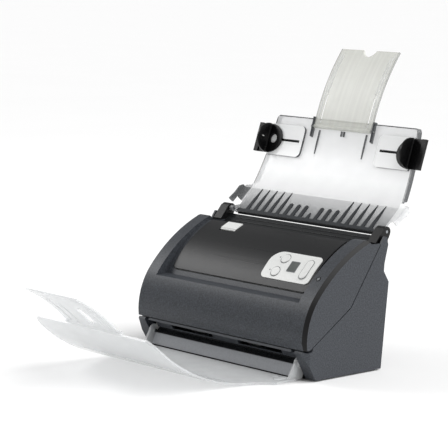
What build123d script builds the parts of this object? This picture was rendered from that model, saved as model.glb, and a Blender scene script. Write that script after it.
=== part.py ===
"""Desktop sheet-fed document scanner, in millimetres.

X points right, Y to the back and Z up. The sizes below are measured from the middle of the body,
and the finished pieces are then moved so that the origin is on the table under the middle of the
whole object with its trays opened out.
A sheet leans on the input chute at the top rear, is pulled down between the rear guide and the
front cover, passes two scan glasses, and leaves over the ramp onto the output tray in front.
Side profiles are drawn as (y, z) and given their width along X.
"""

from build123d import *
from math import asin, atan2, cos, degrees, hypot, pi, radians, sin
import os

os.makedirs("parts", exist_ok=True)

# From the middle of the body forward to the middle of the opened-out object
origin_forward = 57.5

# Body
body_width = 263.0
body_wall = 2.5
foot_height = 1.5
side_chamfer = 3.8
pillar_width = 14.5
seam = 0.8
half_width = body_width / 2
inner_half = half_width - body_wall
pillar_inner = half_width - pillar_width

# Front of the cover: two arcs that run into each other
nose_front = -61.0
nose_height = 42.0
nose_radius = 72.0
nose_turn = 40.0
crown_radius = 180.0
crown_end_slope = 21.5
lip_front = -59.5
lip_height = 34.0
shoulder_end = 31.5
shoulder_dip = 135.5
recess_width = 222.0
ledge_height = 80.5
ledge_back = -35.0
recess_mid = (-6.0, 116.3)
recess_rear = (28.5, 136.6)

# Parting line between cover and base
parting_front = (-52.5, 34.0)
parting_bend = (7.0, 72.0)
parting_top = (50.5, 135.5)

# Cover pivot
cover_pivot = (-54.0, 40.0)
cradle_radius = 8.7
cover_pin_radius = 1.8
running_gap = 0.05

# Rear of the base
rear_foot = 56.0
rear_bulge = (64.5, 94.0)
rear_waist = (56.5, 106.0)
rear_top = (62.0, 134.0)

# Paper path
path_bend = (8.0, 70.0)
path_upper_slope = 56.3
path_lower_slope = 43.0
path_half_gap = 1.0
guide_thickness = 2.2
mouth_top = (65.0, 140.6)
mouth_throat = 70.0
cover_mouth = (30.2, 133.7)
cover_nip = 42.0
ramp_end = 79.0
ramp_foot_front = -54.5
exit_bar_end = 72.0

# Scan units
scan_station = 23.0
glass_width = 216.0
glass_depth = 18.0
glass_thickness = 1.6
scan_unit_depth = 20.0
scan_unit_height = 14.0

# Frames and drive
frame_gap = 3.5
frame_inner = pillar_inner - frame_gap
plate_thickness = 2.0
front_guide_gap = 1.5
front_guide_half = frame_inner - front_guide_gap
front_guide_rib = 1.5
arm_clear_gap = 2.1
arm_clear_half = frame_inner - arm_clear_gap
arm_clear_back = -39.5
frame_thickness = 2.5
shaft_radius = 3.0
pick_station = 38.0
pick_radius = 10.0
feed_station = 12.0
feed_radius = 8.0
exit_station = 66.0
exit_radius = 6.5
separation_radius = 9.0
pinch_radius = 6.0
exit_pinch_radius = 4.0
nip_gap = 0.15
gear_module = 1.0
feed_teeth = 20
pick_teeth = 20
middle_teeth = 16
gear_width = 6.0
gear_slack = 0.12
motor_centre = (34.0, 32.0)
motor_radius = 17.0
motor_length = 30.0
motor_pulley_radius = 6.0
feed_pulley_radius = 7.5
exit_pulley_radius = 7.0
pulley_width = 6.0
belt_thickness = 1.2
belt_gap = 0.3

# Input chute
chute_hinge = (66.0, 146.5)
chute_foot = (70.0, 143.0)
chute_lower_slope = 41.3
chute_lower_length = 37.7
chute_radius = 300.0
chute_start_slope = 59.5
chute_turn = 17.3
chute_thickness = 2.4
chute_top_half = 107.7
chute_notch_half = 115.0
chute_wing_inset = 3.5
chute_wing_half = half_width - chute_wing_inset
chute_foot_gap = 0.7
chute_foot_half = frame_inner - chute_foot_gap
chute_corner = 7.0
rim_depth = 3.6
rim_thickness = 1.8
chute_boss_radius = 3.6
chute_boss_inner = chute_foot_half - 3.2
chute_pin_radius = 1.6
tower_radius = 5.5

# Fingers of the chute
finger_pitch = 11.9
finger_width = 5.0
finger_height = 1.2
long_finger = 34.4
short_finger = 19.2
centre_finger = 10.0

# Paper guides
platform_inner = 57.0
platform_outer = 108.5
platform_low = 206.0
platform_high = 241.0
platform_height = 3.0
platform_corner = 6.0
slot_inner = 62.0
slot_outer = 96.4
slot_height = 2.6
guide_crease = 109.2
guide_inner = 88.5
guide_flange = 18.3
guide_outer = guide_crease + guide_flange
guide_rim = 6.0
guide_half_length = 17.0
guide_neck = (92.8, 95.8)
guide_hole = (101.3, 5.2)
guide_plate = 1.6
guide_lift = 0.8
fence_height = 17.0
fence_thickness = 1.8
barrel_radius = 1.5
fence_pin_radius = 0.75
knuckle_place = 13.5
knuckle_length = 4.0
fence_barrel_length = 22.0

# Chute extension
extension_half = 44.0
extension_radius = 240.0
extension_length = 97.0
extension_thickness = 2.0
extension_drop = 9.4
extension_barrel = 2.3
hinge_stub = 1.1
extension_corner = 4.0
extension_slot_half = 36.0
extension_slot_width = 3.0
extension_slot_length = 33.0
rest_rib_width = 2.0
clip_height = 1.4

# Output tray and flap
tray_hinge = (-48.5, 17.0)
tray_lug_radius = 8.0
tray_pin_radius = 2.0
tray_back = -57.5
tray_flat_end = -100.0
tray_underside = 1.0
tray_thickness = 2.0
tray_radius = 186.0
tray_sweep = 46.0
tray_hinge_gap = 0.8
tray_hinge_half = pillar_inner - tray_hinge_gap
tray_lug_thickness = 3.0
tray_lug_outer = tray_hinge_half - 1.2
tray_lug_inner = tray_lug_outer - tray_lug_thickness
tray_middle_half = 98.0
tray_front_half = 94.0
tray_corner = 14.0
flap_half = 40.0
flap_length = 68.0
flap_radius = 183.0
flap_thickness = 1.8
flap_barrel = 2.0

# Top panel, control panel and buttons
top_panel_margin = 7.0
top_panel_half = recess_width / 2 - top_panel_margin
top_panel_thickness = 1.0
panel_margin = 3.0
panel_length = 71.0
panel_right = top_panel_half - panel_margin
panel_left = panel_right - panel_length
panel_thickness = 0.8
button_radius = 5.5
button_rise = 0.8
button_gap = 0.25
scan_button_length = 24.0
scan_button_width = 9.0


def out_from(centre, radius, angle):
    """Point at an angle on a circle in the side view."""
    return (centre[0] + radius * cos(radians(angle)), centre[1] + radius * sin(radians(angle)))


def slab(profile, low_x, high_x):
    """A side profile given its width along X."""
    return extrude(Plane.YZ.offset(low_x) * profile, amount=high_x - low_x, dir=(1, 0, 0))


def rod(centre, radius, low_x, high_x):
    """A cylinder along X at a side-view point."""
    return slab(Pos(*centre) * Circle(radius), low_x, high_x)


def polygon(*points):
    return make_face(Polyline(*points, close=True))


def strip(wire, thickness, side=Side.RIGHT):
    """A side-view line thickened to one side."""
    return make_face(offset(wire, amount=thickness, side=side))


def mirrored(shape):
    return mirror(shape, about=Plane.YZ)


def both_sides(shape):
    return shape + mirrored(shape)


nose_centre = (nose_front + nose_radius, nose_height)
nose_end_angle = 180 - nose_turn
crown_centre = out_from(nose_centre, nose_radius - crown_radius, nose_end_angle)
crown_end_angle = 90 + crown_end_slope
crown_end = out_from(crown_centre, crown_radius, crown_end_angle)


def nose_point(angle, inset=0):
    return out_from(nose_centre, nose_radius - inset, angle)


def crown_point(angle, inset=0):
    return out_from(crown_centre, crown_radius - inset, angle)


def front_edges(inset=0):
    """The nose and crown arcs, from the front of the nose to the end of the crown."""
    nose = ThreePointArc(
        nose_point(180, inset), nose_point(180 - nose_turn / 2, inset), nose_point(nose_end_angle, inset)
    )
    middle = (nose_end_angle + crown_end_angle) / 2
    crown = ThreePointArc(
        crown_point(nose_end_angle, inset), crown_point(middle, inset), crown_point(crown_end_angle, inset)
    )
    return [nose, crown]


path_up = (cos(radians(path_upper_slope)), sin(radians(path_upper_slope)))
path_down = (-cos(radians(path_lower_slope)), -sin(radians(path_lower_slope)))
upper_back = (path_up[1], -path_up[0])
lower_back = (-path_down[1], path_down[0])


def on_upper_path(station, back=0.0):
    """Point on the upper run of the paper path; back is towards the rear of the machine."""
    return (
        path_bend[0] + station * path_up[0] + back * upper_back[0],
        path_bend[1] + station * path_up[1] + back * upper_back[1],
    )


def on_lower_path(station, back=0.0):
    """Point on the lower run of the paper path, counted down from its bend."""
    return (
        path_bend[0] + station * path_down[0] + back * lower_back[0],
        path_bend[1] + station * path_down[1] + back * lower_back[1],
    )


def path_corner(back):
    """Where the two runs meet, moved to one side of the path."""
    half_turn = radians(path_upper_slope - path_lower_slope) / 2
    direction = radians((path_upper_slope + path_lower_slope) / 2 - 90)
    reach = back / cos(half_turn)
    return (path_bend[0] + reach * cos(direction), path_bend[1] + reach * sin(direction))


pick_axis = on_upper_path(pick_station, pick_radius + nip_gap)
separation_axis = on_upper_path(pick_station, -separation_radius - nip_gap)
feed_axis = on_upper_path(feed_station, feed_radius + nip_gap)
pinch_axis = on_upper_path(feed_station, -pinch_radius - nip_gap)
exit_axis = on_lower_path(exit_station, exit_radius + nip_gap)
exit_pinch_axis = on_lower_path(exit_station, -exit_pinch_radius - nip_gap)

chute_bend = (
    chute_foot[0] + chute_lower_length * cos(radians(chute_lower_slope)),
    chute_foot[1] + chute_lower_length * sin(radians(chute_lower_slope)),
)
chute_centre = out_from(chute_bend, chute_radius, chute_start_slope + 90)
chute_top_angle = chute_start_slope - 90 + chute_turn


def on_chute(drop, front=0.0):
    """Point on the curved part of the chute, drop below its top edge and in front of it."""
    angle = chute_top_angle - degrees(drop / chute_radius)
    return out_from(chute_centre, chute_radius - front, angle)


def chute_slope(drop):
    return chute_top_angle - degrees(drop / chute_radius) + 90


def chute_drop_at(height):
    """How far below the top edge the chute's face is at a height."""
    angle = degrees(asin((height - chute_centre[1]) / chute_radius))
    return radians(chute_top_angle - angle) * chute_radius


cradle_front = 235
cradle_rear = 310


def cradle_arc(start, end):
    middle = (start + end) / 2
    return ThreePointArc(
        out_from(cover_pivot, cradle_radius, start),
        out_from(cover_pivot, cradle_radius, middle),
        out_from(cover_pivot, cradle_radius, end),
    )


# Base
def tower():
    """Rounded arm beside the paper mouth that carries the chute's hinge pin."""
    foot = polygon((49, 126), (49, 136), (61, 150.5), (71, 143.5), (62, 128))
    arm = slab(foot + Pos(*chute_hinge) * Circle(tower_radius), frame_inner, frame_inner + 12)
    web = slab(polygon((52.5, 124), (52.5, 135), (61.5, 135), (60.5, 124)), frame_inner, inner_half + 1)
    bore = rod(chute_hinge, chute_pin_radius + 0.01, frame_inner - 1, frame_inner + 13)
    return arm + web - bore


def pillar_front_line():
    return (-43.0, foot_height), (-61.0, 31.0)


def base_outline():
    """Side view of the base, up to the parting line and the cradle for the cover's corner."""
    low, high = pillar_front_line()
    cradle = cradle_arc(cradle_front, cradle_rear)
    cradle_end = out_from(cover_pivot, cradle_radius, cradle_rear)
    cradle_start = out_from(cover_pivot, cradle_radius, cradle_front)
    rim = [
        (parting_front[0] + 4.5, parting_front[1] + 2.0),
        (parting_bend[0] + seam / 2, parting_bend[1] - seam / 2),
        (parting_top[0] + seam / 2, parting_top[1] - seam / 2),
        (52.5, 138.0),
        (56.0, 143.0),
        (60.0, 142.0),
        rear_top,
        (57.0, 114.0),
        rear_waist,
        rear_bulge,
        (rear_foot, foot_height),
        low,
    ]
    return make_face([
        Line(low, high),
        Line(high, cradle_start),
        cradle,
        Polyline(cradle_end, *rim),
    ])


def base_hollow():
    """Side view of the space inside the base, open at the bottom and at the parting line."""
    wall = body_wall
    return polygon(
        (-39.5, -1.0), (-57.3, 28.6), (-47.0, 29.6), (-44.0, 45.0), (20.0, 150.0),
        (rear_top[0] - wall, 150.0), (rear_top[0] - wall, rear_top[1]), (57.0 - wall, 114.5),
        (rear_waist[0] - wall, rear_waist[1] - 0.8), (rear_bulge[0] - wall, rear_bulge[1] - 1.0),
        (rear_foot - wall, -1.0),
    )


foot_places = ((-112, -34), (112, -34), (-112, 42), (112, 42))
screw_places = ((-95, -30), (95, -30), (-95, 40), (95, 40))


def rear_wall_y(height):
    """Outer face of the lower rear wall."""
    share = (height - foot_height) / (rear_bulge[1] - foot_height)
    return rear_foot + share * (rear_bulge[0] - rear_foot)


board_top = 9.6
usb_size = (13.0, 14.0, 12.0)
usb_place = (-28.0, board_top + usb_size[2] / 2)
jack_radius = 5.6
jack_place = (-56.0, board_top + jack_radius)
switch_place = (92.0, 20.0)
switch_size = (20.0, 13.0)
switch_tilt = 6.0


def rear_openings():
    cuts = []
    usb = Pos(usb_place[0], rear_wall_y(usb_place[1]), usb_place[1])
    cuts.append(usb * Box(usb_size[0] + 0.4, 12, usb_size[2] + 0.4))
    jack = Pos(jack_place[0], rear_wall_y(jack_place[1]), jack_place[1])
    cuts.append(jack * Rot(90, 0, 0) * Cylinder(jack_radius + 0.2, 12))
    switch = Pos(switch_place[0], rear_wall_y(switch_place[1]), switch_place[1])
    cuts.append(switch * Box(switch_size[0] + 2.4, 14, switch_size[1] + 2.4))
    return cuts


def base_housing():
    """Side walls, pillars, rear wall and hinge towers, moulded as one."""
    body = slab(base_outline(), -half_width, half_width)
    body = chamfer_pillars(body)
    body -= slab(base_hollow(), -inner_half, inner_half)
    body -= Pos(0, -60, 20) * Box(2 * pillar_inner, 60, 80)
    inner_wall = polygon(
        (-38.5, foot_height), (-57.0, 30.0), (-46.8, 30.0), (-45.2, 24.0), (-45.0, 12.0),
        (-36.0, foot_height),
    )
    body += both_sides(slab(inner_wall, pillar_inner, pillar_inner + body_wall))
    body += both_sides(tower())
    body -= both_sides(rod(tray_hinge, tray_pin_radius + 0.01, pillar_inner - 1, pillar_inner + 3.5))
    for cut in rear_openings():
        body -= cut
    return body - slab(above_ledge(), -frame_inner, frame_inner)


def above_ledge():
    """Space over the underside of the rear guide's ledge, where the rear wall makes room."""
    throat = on_upper_path(mouth_throat, path_half_gap)
    rise = bearing(throat, mouth_top)
    under = out_from(mouth_top, guide_thickness, rise - 90)
    low = out_from(under, -20.0, rise)
    high = out_from(under, 6.0, rise)
    return polygon(low, high, (high[0], 160.0), (low[0], 160.0))


def chamfer_pillars(body):
    """Bevel where the front of each pillar meets the side of the body."""
    corner = polygon((half_width - 7, -66), (half_width + 6, -66), (half_width + 6, -40))
    bevel = extrude(Plane.XY * corner, amount=60)
    front = polygon((-90, -1), (40, -1), (-52, 40), (-90, 40))
    below_cover = slab(front, pillar_inner, half_width + 7)
    return body - both_sides(bevel & below_cover)


def bottom_plate():
    low = foot_height
    back = rear_foot - body_wall - 0.6
    top = low + plate_thickness
    between_walls = inner_half - 0.5
    plate = slab(polygon((-35.5, low), (back, low), (back, top), (-35.5, top)), -between_walls, between_walls)
    front = ramp_foot_front - 1.0
    plate += slab(polygon((front, low), (0, low), (0, top), (front, top)), -arm_clear_half, arm_clear_half)
    for x, y in screw_places:
        plate -= Pos(x, y, low) * Cylinder(1.7, 10)
    return plate


def rubber_feet():
    return Compound([Pos(x, y, foot_height / 2) * Cylinder(6.5, foot_height) for x, y in foot_places])


def housing_screw(x, y):
    head = Pos(x, y, foot_height - 0.4) * Cylinder(2.8, 0.8)
    return head + Pos(x, y, foot_height + 4) * Cylinder(1.5, 8)


def housing_screws():
    return Compound([housing_screw(x, y) for x, y in screw_places])


def frame_profile():
    body = polygon(
        (-37, foot_height + plate_thickness), (-37, 29), (-34, 38), (6, 66.5), (46, 124), (51, 124),
        (51, 107), (58, 91), (52, foot_height + plate_thickness),
    )
    lug = Pos(*cover_pivot) * Circle(4.0)
    neck = Pos(*cover_pivot) * Rot(0, 0, -35) * Pos(11, 0) * Rectangle(24, 5)
    return body + neck + lug


def side_frame(side):
    """Plate beside the paper path that carries the shafts and one cover pivot."""
    frame = slab(frame_profile(), frame_inner, frame_inner + frame_thickness)
    for axis, radius in (
        (pick_axis, shaft_radius), (feed_axis, shaft_radius), (exit_axis, shaft_radius),
        (exit_pinch_axis, 1.5), (motor_centre, motor_pulley_radius - 1),
    ):
        frame -= rod(axis, radius + running_gap, frame_inner - 1, frame_inner + 5)
    frame -= rod(cover_pivot, cover_pin_radius, frame_inner - 1, frame_inner + 5)
    if side > 0:
        return frame + rod(middle_axis, 2.0, frame_inner, gear_high + 1)
    return mirrored(frame)


def hinge_pins():
    """Steel pins of the cover, the output tray and the input chute, a pair of each."""
    pins = [
        rod(cover_pivot, cover_pin_radius, frame_inner, inner_half - 1),
        rod(tray_hinge, tray_pin_radius, tray_lug_inner - 0.2, pillar_inner + 3),
        rod(chute_hinge, chute_pin_radius, chute_boss_inner, frame_inner + 12),
    ]
    return Compound(pins + [mirrored(pin) for pin in pins])


def rear_paper_guide():
    """Grey plate behind the sheet, from the mouth down to the rear scan glass."""
    back = path_half_gap
    line = Polyline(
        mouth_top, on_upper_path(mouth_throat, back), path_corner(back),
        on_lower_path(scan_station - scan_unit_depth / 2 - 0.5, back),
    )
    plate = slab(strip(line, guide_thickness, Side.LEFT), -frame_inner, frame_inner)
    plate -= both_sides(roller_window(pick_axis, pick_radius, 17, 15))
    plate -= both_sides(roller_window(feed_axis, feed_radius, 46, 20))
    return plate


def roller_window(axis, radius, middle_x, width):
    return rod(axis, radius + 1.0, middle_x - width / 2 - 1, middle_x + width / 2 + 1)


def exit_ramp():
    """Lower guide plate behind the glass, with the low front wall under the paper exit."""
    back = path_half_gap
    top = on_lower_path(scan_station + scan_unit_depth / 2 + 0.5, back)
    lip = on_lower_path(ramp_end, back)
    floor = foot_height + plate_thickness
    line = Polyline(top, lip, (ramp_foot_front, floor - 1.0))
    plate = slab(strip(line, guide_thickness, Side.LEFT), -frame_inner, frame_inner)
    plate &= Pos(0, 0, floor + 50) * Box(300, 300, 100)
    beside_arm = polygon((-80, 0), (arm_clear_back, 0), (arm_clear_back, 60), (-80, 60))
    plate -= both_sides(slab(beside_arm, arm_clear_half, frame_inner + 1))
    for x in (-75, -25, 25, 75):
        rib = polygon((ramp_foot_front + 2.0, floor), (lip[0] + 2.0, lip[1] - 2.5), (lip[0] + 12.0, floor))
        plate += slab(rib, x, x + 1.6)
    plate -= both_sides(roller_window(exit_axis, exit_radius, 44, 20))
    return plate


def exit_guide_bar():
    """Black bar over the paper exit, with a long window in front of each pinch roller."""
    back = -path_half_gap
    start = out_from(cover_pivot, cradle_radius, cradle_front - 2)
    end = out_from(cover_pivot, cradle_radius, cradle_rear)
    front = (-60.4, 30.8)
    ceiling = (-49.5, 28.6)
    rest = Polyline(
        end, (-35.0, 36.5), on_lower_path(56, back), on_lower_path(exit_bar_end, back), ceiling, front
    )
    profile = make_face([Line(front, start), cradle_arc(cradle_front - 2, cradle_rear), rest])
    bar = slab(profile, -arm_clear_half, arm_clear_half)
    ear = polygon((arm_clear_back, 30.0), (arm_clear_back, 35.3), (-35.5, 36.3), (-34.3, 33.2))
    bar += both_sides(slab(ear, arm_clear_half - 1, frame_inner))
    pocket = Pos(*exit_pinch_axis) * Circle(exit_pinch_radius + 0.6)
    mouth = polygon((-52, 22.4), (-52, 28.8), (-41.5, 31.4), (-41.5, 24.2))
    bar -= both_sides(slab(mouth + pocket, 20, 86))
    bar -= rod(exit_pinch_axis, 1.5 + running_gap, -arm_clear_half - 0.6, arm_clear_half + 0.6)
    return bar


def in_path_frame(station, back):
    """Plane on the lower path, X along the machine and Z away from the sheet to the front."""
    y, z = on_lower_path(station, back)
    return Plane(origin=(0, y, z), x_dir=(1, 0, 0), z_dir=(0, -lower_back[0], -lower_back[1]))


def scan_glass(side):
    """Glass strip that the sheet slides past; side is 1 at the rear and -1 in the cover."""
    plane = in_path_frame(scan_station, side * (path_half_gap + glass_thickness / 2))
    return plane * Box(glass_width, glass_depth, glass_thickness)


def scan_unit(side):
    """Contact image sensor bar behind its glass, with the slot of its lens."""
    depth = path_half_gap + glass_thickness + scan_unit_height / 2
    plane = in_path_frame(scan_station, side * depth)
    half = frame_inner if side > 0 else front_guide_half - front_guide_rib
    unit = plane * Box(2 * half, scan_unit_depth, scan_unit_height)
    slot_plane = in_path_frame(scan_station, side * (path_half_gap + glass_thickness))
    unit -= slot_plane * Box(glass_width - 8, 4, 8)
    return unit


def main_board():
    board = Pos(8, 21, board_top - 0.8) * Box(150, 58, 1.6)
    board += Pos(-20, 10, 10.6) * Box(22, 22, 2.4)
    board += Pos(20, 14, 10.2) * Box(14, 10, 1.6)
    board += Pos(60, 18, 11.6) * Box(10, 24, 4)
    for x, y in ((-60, -4), (76, -4), (-60, 44), (76, 44)):
        board += Pos(x, y, (board_top + foot_height + plate_thickness - 1.6) / 2) * Cylinder(2.5, 4.5)
    return board


def usb_socket():
    """Square data socket at the rear, open to the back."""
    y = rear_wall_y(usb_place[1])
    shell = Pos(usb_place[0], y - 6, usb_place[1]) * Box(*usb_size)
    shell -= Pos(usb_place[0], y, usb_place[1]) * Box(usb_size[0] - 3, usb_size[1], usb_size[2] - 3)
    return shell + Pos(usb_place[0], y - 8.5, usb_place[1]) * Box(5.6, 7, 3.2)


def power_socket():
    y = rear_wall_y(jack_place[1])
    barrel = Pos(jack_place[0], y - 5.5, jack_place[1]) * Rot(90, 0, 0) * Cylinder(jack_radius, 13)
    barrel -= Pos(jack_place[0], y, jack_place[1]) * Rot(90, 0, 0) * Cylinder(jack_radius - 2.2, 14)
    return barrel + Pos(jack_place[0], y - 8.5, jack_place[1]) * Rot(90, 0, 0) * Cylinder(1.0, 7)


switch_axis = (rear_wall_y(switch_place[1]) - 4.5, switch_place[1])


def power_switch():
    """Rocker with a slight ridge across its middle."""
    half = switch_size[1] / 2 - 0.9
    face = polygon((-2.5, 1.5 - half), (4.6, -half), (4.0, 0), (4.6, half), (-2.5, half - 1.5))
    tilted = Pos(*switch_axis) * Rot(0, 0, -switch_tilt) * face
    rocker = slab(tilted, switch_place[0] - switch_size[0] / 2, switch_place[0] + switch_size[0] / 2)
    return rocker - rod(switch_axis, 1.5 + running_gap, 70, 110)


def switch_frame():
    """Snap-in frame of the rocker with its axle."""
    y, z = switch_axis
    wide, tall = switch_size[0] + 2.4, switch_size[1] + 2.4
    frame = Pos(switch_place[0], y + 0.8, z) * Box(wide, 8, tall)
    frame -= Pos(switch_place[0], y + 0.8, z) * Box(switch_size[0] + 0.6, 9, switch_size[1] + 0.6)
    axle = rod(switch_axis, 1.5, switch_place[0] - wide / 2 + 0.1, switch_place[0] + wide / 2 - 0.1)
    return frame + axle


# Drive
def gear_face(teeth, phase):
    """Toothed wheel in the side view; phase turns one tooth to that angle."""
    pitch = gear_module * teeth / 2
    root = pitch - 1.2 * gear_module
    tip = pitch + 0.9 * gear_module
    half_pitch_tooth = (pi * gear_module / 4 - gear_slack) / pitch
    flank = ((root, -1.55), (pitch, -1.0), (tip, -0.42), (tip, 0.42), (pitch, 1.0), (root, 1.55))
    points = []
    for tooth in range(teeth):
        middle = radians(phase) + 2 * pi * tooth / teeth
        for radius, share in flank:
            angle = middle + share * half_pitch_tooth
            points.append((radius * cos(angle), radius * sin(angle)))
    return make_face(Polyline(*points, close=True))


def bearing(first, second):
    """Angle of the line from one axis to another."""
    return degrees(atan2(second[1] - first[1], second[0] - first[0]))


def third_corner(first, second, first_reach, second_reach):
    """Point at given distances from two axes, on the rear side of the line between them."""
    span = hypot(second[0] - first[0], second[1] - first[1])
    along = (first_reach**2 - second_reach**2 + span**2) / (2 * span)
    off = (first_reach**2 - along**2) ** 0.5
    unit = ((second[0] - first[0]) / span, (second[1] - first[1]) / span)
    return (first[0] + along * unit[0] + off * unit[1], first[1] + along * unit[1] - off * unit[0])


feed_reach = gear_module * (feed_teeth + middle_teeth) / 2 + gear_slack
pick_reach = gear_module * (pick_teeth + middle_teeth) / 2 + gear_slack
middle_axis = third_corner(feed_axis, pick_axis, feed_reach, pick_reach)
gear_low = frame_inner + frame_thickness + 1.0
gear_high = gear_low + gear_width
frame_outer = frame_inner + frame_thickness + 0.5


def meshing_phase(teeth, axis, other_axis, other_teeth, other_phase):
    """Phase that puts a gap of this wheel where the other wheel has a tooth, and the reverse."""
    toward_other = bearing(axis, other_axis)
    toward_this = bearing(other_axis, axis)
    turns = (toward_this - other_phase) / (360 / other_teeth)
    return toward_other + (turns - 0.5) * 360 / teeth


feed_phase = 0.0
middle_phase = meshing_phase(middle_teeth, middle_axis, feed_axis, feed_teeth, feed_phase)
pick_phase = meshing_phase(pick_teeth, pick_axis, middle_axis, middle_teeth, middle_phase)


def wheel(face, axis, low_x, high_x, bore):
    return slab(Pos(*axis) * face, low_x, high_x) - rod(axis, bore, low_x - 1, high_x + 1)


def feed_gear():
    return wheel(gear_face(feed_teeth, feed_phase), feed_axis, gear_low, gear_high, shaft_radius)


def pick_gear():
    return wheel(gear_face(pick_teeth, pick_phase), pick_axis, gear_low, gear_high, shaft_radius)


def middle_gear():
    return wheel(gear_face(middle_teeth, middle_phase), middle_axis, gear_low, gear_high, 2.0 + running_gap)


def pulley(axis, radius, bore):
    face = Circle(radius)
    body = wheel(face, axis, -gear_low - pulley_width, -gear_low, bore)
    for low in (-gear_low - pulley_width - 0.8, -gear_low):
        body += wheel(Circle(radius + 1.6), axis, low, low + 0.8, bore)
    return body


def drive_belt():
    """Loop round the motor, feed and exit pulleys."""
    def loop(extra):
        circles = [
            Pos(*motor_centre) * Circle(motor_pulley_radius + extra),
            Pos(*feed_axis) * Circle(feed_pulley_radius + extra),
            Pos(*exit_axis) * Circle(exit_pulley_radius + extra),
        ]
        return make_hull([edge for circle in circles for edge in circle.edges()])
    band = loop(belt_gap + belt_thickness) - loop(belt_gap)
    return slab(band, -gear_low - pulley_width + 0.6, -gear_low - 0.6)


def shaft(axis, low_x, high_x, radius=shaft_radius):
    return rod(axis, radius, low_x, high_x)


def spindle(axis, radius, reach, roller_radius, middle_x, width):
    """Thin shaft, reaching as far to both sides, with two rollers moulded on it."""
    body = rod(axis, radius, -reach, reach)
    return body + both_sides(rod(axis, roller_radius, middle_x - width / 2, middle_x + width / 2))


def tyres(axis, radius, middle_x, width, bore=shaft_radius):
    tyre = wheel(Circle(radius), axis, middle_x - width / 2, middle_x + width / 2, bore)
    return Compound([tyre, mirrored(tyre)])


def drive_motor():
    body = rod(motor_centre, motor_radius, -frame_inner, -frame_inner + motor_length)
    return body - rod(motor_centre, 2.5, -frame_inner - 1, -frame_inner + motor_length - 4)


def motor_shaft():
    return rod(motor_centre, 2.0, -gear_low - pulley_width - 0.8, -frame_inner + motor_length - 5)


# Front cover
def cover_outline():
    """Side view of the cover: nose, crown, shoulder and parting line."""
    bend = (parting_bend[0] - seam / 2, parting_bend[1] + seam / 2)
    top = (parting_top[0] - seam / 2, parting_top[1] + seam / 2)
    lip = (lip_front, lip_height)
    rest = Polyline(
        crown_end, (shoulder_end, crown_end[1] + 0.4), (shoulder_end + 5.0, shoulder_dip + seam / 2),
        top, bend, parting_front, lip, nose_point(180),
    )
    return make_face(front_edges() + [rest])


def cover_hollow(inset, rear):
    """Side view of the space under the cover's skin, open along the parting line."""
    end = crown_point(crown_end_angle, inset)
    lip = lip_front + inset
    rest = Polyline(
        end, (rear, end[1] + 0.5), (rear, 60.0), (20.0, 20.0), (lip, 20.0), nose_point(180, inset)
    )
    return make_face(front_edges(inset) + [rest])


recess_front = (ledge_back, ledge_height + 1.0)
recess_arc = ThreePointArc(recess_front, recess_mid, recess_rear)
recess_centre = (recess_arc.arc_center.X, recess_arc.arc_center.Y)
recess_radius = recess_arc.radius
recess_low_angle = bearing(recess_centre, recess_front)
recess_high_angle = bearing(recess_centre, recess_rear)


def recess_spot(run, rise=0.0):
    """Point on the recess floor, run along it up from the ledge, and rise above it."""
    angle = recess_low_angle - degrees(run / recess_radius)
    return out_from(recess_centre, recess_radius + rise, angle)


def recess_line(low_run, high_run, rise):
    """Arc at a rise over the recess floor."""
    middle = (low_run + high_run) / 2
    return ThreePointArc(recess_spot(low_run, rise), recess_spot(middle, rise), recess_spot(high_run, rise))


recess_run = radians(recess_low_angle - recess_high_angle) * recess_radius


def recess_band(low_run, high_run, low_rise, high_rise):
    """Side view of a curved plate that follows the recess floor."""
    outer = recess_line(low_run, high_run, high_rise)
    inner = recess_line(low_run, high_run, low_rise)
    return make_face([outer, inner, Line(outer @ 0, inner @ 0), Line(outer @ 1, inner @ 1)])


def recess_plane(run, rise=0.0, x=0.0):
    """Plane on the recess floor: X along the machine, Y up the slope, Z outwards."""
    angle = recess_low_angle - degrees(run / recess_radius)
    y, z = recess_spot(run, rise)
    return Plane(origin=(x, y, z), x_dir=(1, 0, 0), z_dir=(0, cos(radians(angle)), sin(radians(angle))))


def recess_cut():
    """Everything above the recess floor, from the ledge to behind the cover."""
    low = recess_spot(0)
    ledge = nose_point(degrees(asin((ledge_height - nose_height) / nose_radius)))
    ledge = (2 * nose_centre[0] - ledge[0], ledge[1])
    outside = (-90.0, ledge[1] - 0.5)
    rest = Polyline(recess_rear, (60.0, recess_rear[1]), (60.0, 170.0), (-90.0, 170.0), outside, ledge, low)
    return make_face([recess_arc, rest])


def front_cover():
    """Moulded skin of the swinging front: bulging nose, inset recess with its ledge, two
    shoulders and the side leaves, hollow underneath."""
    cover = cover_bevel(slab(cover_outline(), -half_width, half_width))
    half_recess = recess_width / 2
    cover -= slab(recess_cut(), -half_recess, half_recess)
    cover -= slab(behind(shoulder_end + 5.5), -inner_half, inner_half)
    cover -= slab(behind(cover_mouth[0] - guide_thickness), -half_recess - 1.5, half_recess + 1.5)
    cover -= both_sides(slab(cover_hollow(body_wall, shoulder_end), half_recess + body_wall, inner_half))
    under = cover_hollow(body_wall, cover_mouth[0] + 10)
    cover -= slab(under & below_recess(), -inner_half, inner_half)
    boss = rod(cover_pivot, 5.0, pillar_inner, inner_half + 0.5)
    cover += both_sides(boss)
    cover -= both_sides(rod(cover_pivot, cover_pin_radius + running_gap, pillar_inner - 1, inner_half - 0.8))
    cover -= button_openings(0.6)
    cover -= tab_seat()
    return cover - led_plane() * Cylinder(lens_radius + 0.1, 12)


def behind(y):
    """Side view of everything behind a y."""
    return polygon((y, 0), (90, 0), (90, 170), (y, 170))


def below_recess():
    """Side view of everything more than a wall below the recess floor."""
    start = recess_spot(0, -body_wall)
    end = recess_spot(recess_run + 20, -body_wall)
    rest = Polyline(end, (80, 20), (-80, 20), (-80, ledge_height - body_wall), start)
    return make_face([recess_line(0, recess_run + 20, -body_wall), rest])


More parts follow.
